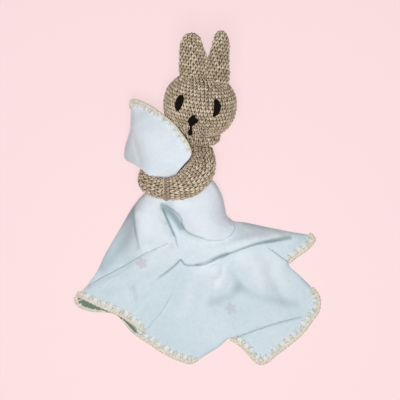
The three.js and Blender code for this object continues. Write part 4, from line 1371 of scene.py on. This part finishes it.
# What is laid once for every repeat, and the stretches of the hem that each piece of border follows.
border_shapes = ((cord_points, cord_faces), (spoke_points, spoke_faces), (puff_points, puff_faces))
border_parts = {
    "cloth_border_top_corner": (("top_corner",), flap_level),
    "cloth_border_left": (("left", "left_under"), skirt_level),
    "cloth_border_front_left": (("front_left",), skirt_level),
    "cloth_border_front_corner": (("front_corner",), skirt_level),
    "cloth_border_right_corner": (("right_corner",), skirt_level),
}
# A stretch under the fold keeps one height. Some stretches narrow along their way: the share of the
# way and the width there.
hem_heights = {"left_under": 2.2}
hem_widths = {
    "top_corner": ((0, 0.5, 1), (0.5, 0.75, 1)), "left_under": ((0, 0.5, 1), (1, 0.8, 0.4)),
    "front_left": ((0, 0.2, 0.26), (0.45, 0.45, 1)),
}
chance = np.random.default_rng(11)
for node_name, (names, level) in border_parts.items():
    points, faces, uvs, white = [], [], [], []
    total = 0
    for name in names:
        line, length = even_line(hems[name], 0.8)
        repeats = max(int(round(length / hem_pitch)), 1)
        inner = left_of(np.gradient(line, axis=0))
        for number in range(repeats):
            turned_under = name == "front_left" and number < 3
            covered = number == repeats - 1 or name in hem_heights or turned_under
            for shape, shape_faces in border_shapes:
                if (shape is puff_points and covered) or (shape is spoke_points and turned_under):
                    continue
                loose = chance.uniform(-1, 1, 3)
                if shape is puff_points:
                    shape = shape * (1 + 0.15 * loose[0], 1, 1 + 0.25 * loose[1])
                if shape_faces is not cord_faces:
                    shape = shape * (1, 1 + 0.12 * loose[2], 1) + (0.06 * loose[0], 0, 0)
                share = np.clip((number + 0.5 + shape[:, 0]) / repeats, 0, 1) * (len(line) - 1)
                at = points_at(line, np.arange(len(line)), share)
                into = points_at(inner, np.arange(len(line)), share)
                slim = np.interp(share / len(line), *hem_widths.get(name, ((0, 1), (1, 1))))[:, None]
                shape = shape * np.hstack([np.ones_like(slim), slim, slim])
                spots = at + into * shape[:, 1:2]
                base = hem_heights.get(name)
                if base is None:
                    base = level(at + into * np.maximum(shape[:, 1:2], 2.6))
                points.append(np.column_stack([spots, base + shape[:, 2]]))
                faces += [[total + i for i in face] for face in shape_faces]
                twist = share * 1.1 + np.arctan2(shape[:, 2] - cord_rise, shape[:, 1] - 1.7)
                uvs.append(np.stack([twist, shape[:, 1]], axis=1))
                total += len(shape)
                white += [int(shape_faces is puff_faces)] * len(shape_faces)
    name = node_name.replace("cloth_", "") + "_stitches"
    border = mesh_piece(name, (np.concatenate(points) + arm_shift) / 1000, faces, border_yarn)
    picked(border)
    add_uv(border, "twist", np.concatenate(uvs))
    border.data.materials.append(puff_yarn)
    border.data.polygons.foreach_set("material_index", white)
    bpy.ops.object.mode_set(mode="EDIT")
    bpy.ops.mesh.select_all(action="SELECT")
    bpy.ops.mesh.remove_doubles(threshold=0.00002)
    bpy.ops.mesh.select_all(action="DESELECT")
    bpy.ops.mesh.select_non_manifold(
        extend=False, use_wire=False, use_multi_face=False, use_non_contiguous=False, use_verts=False
    )
    bpy.ops.mesh.edge_face_add()
    bpy.ops.mesh.select_all(action="SELECT")
    bpy.ops.mesh.normals_make_consistent(inside=False)
    bpy.ops.object.mode_set(mode="OBJECT")
    kept_off_floor(border)
    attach(border, "hug")
    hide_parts(node_name)
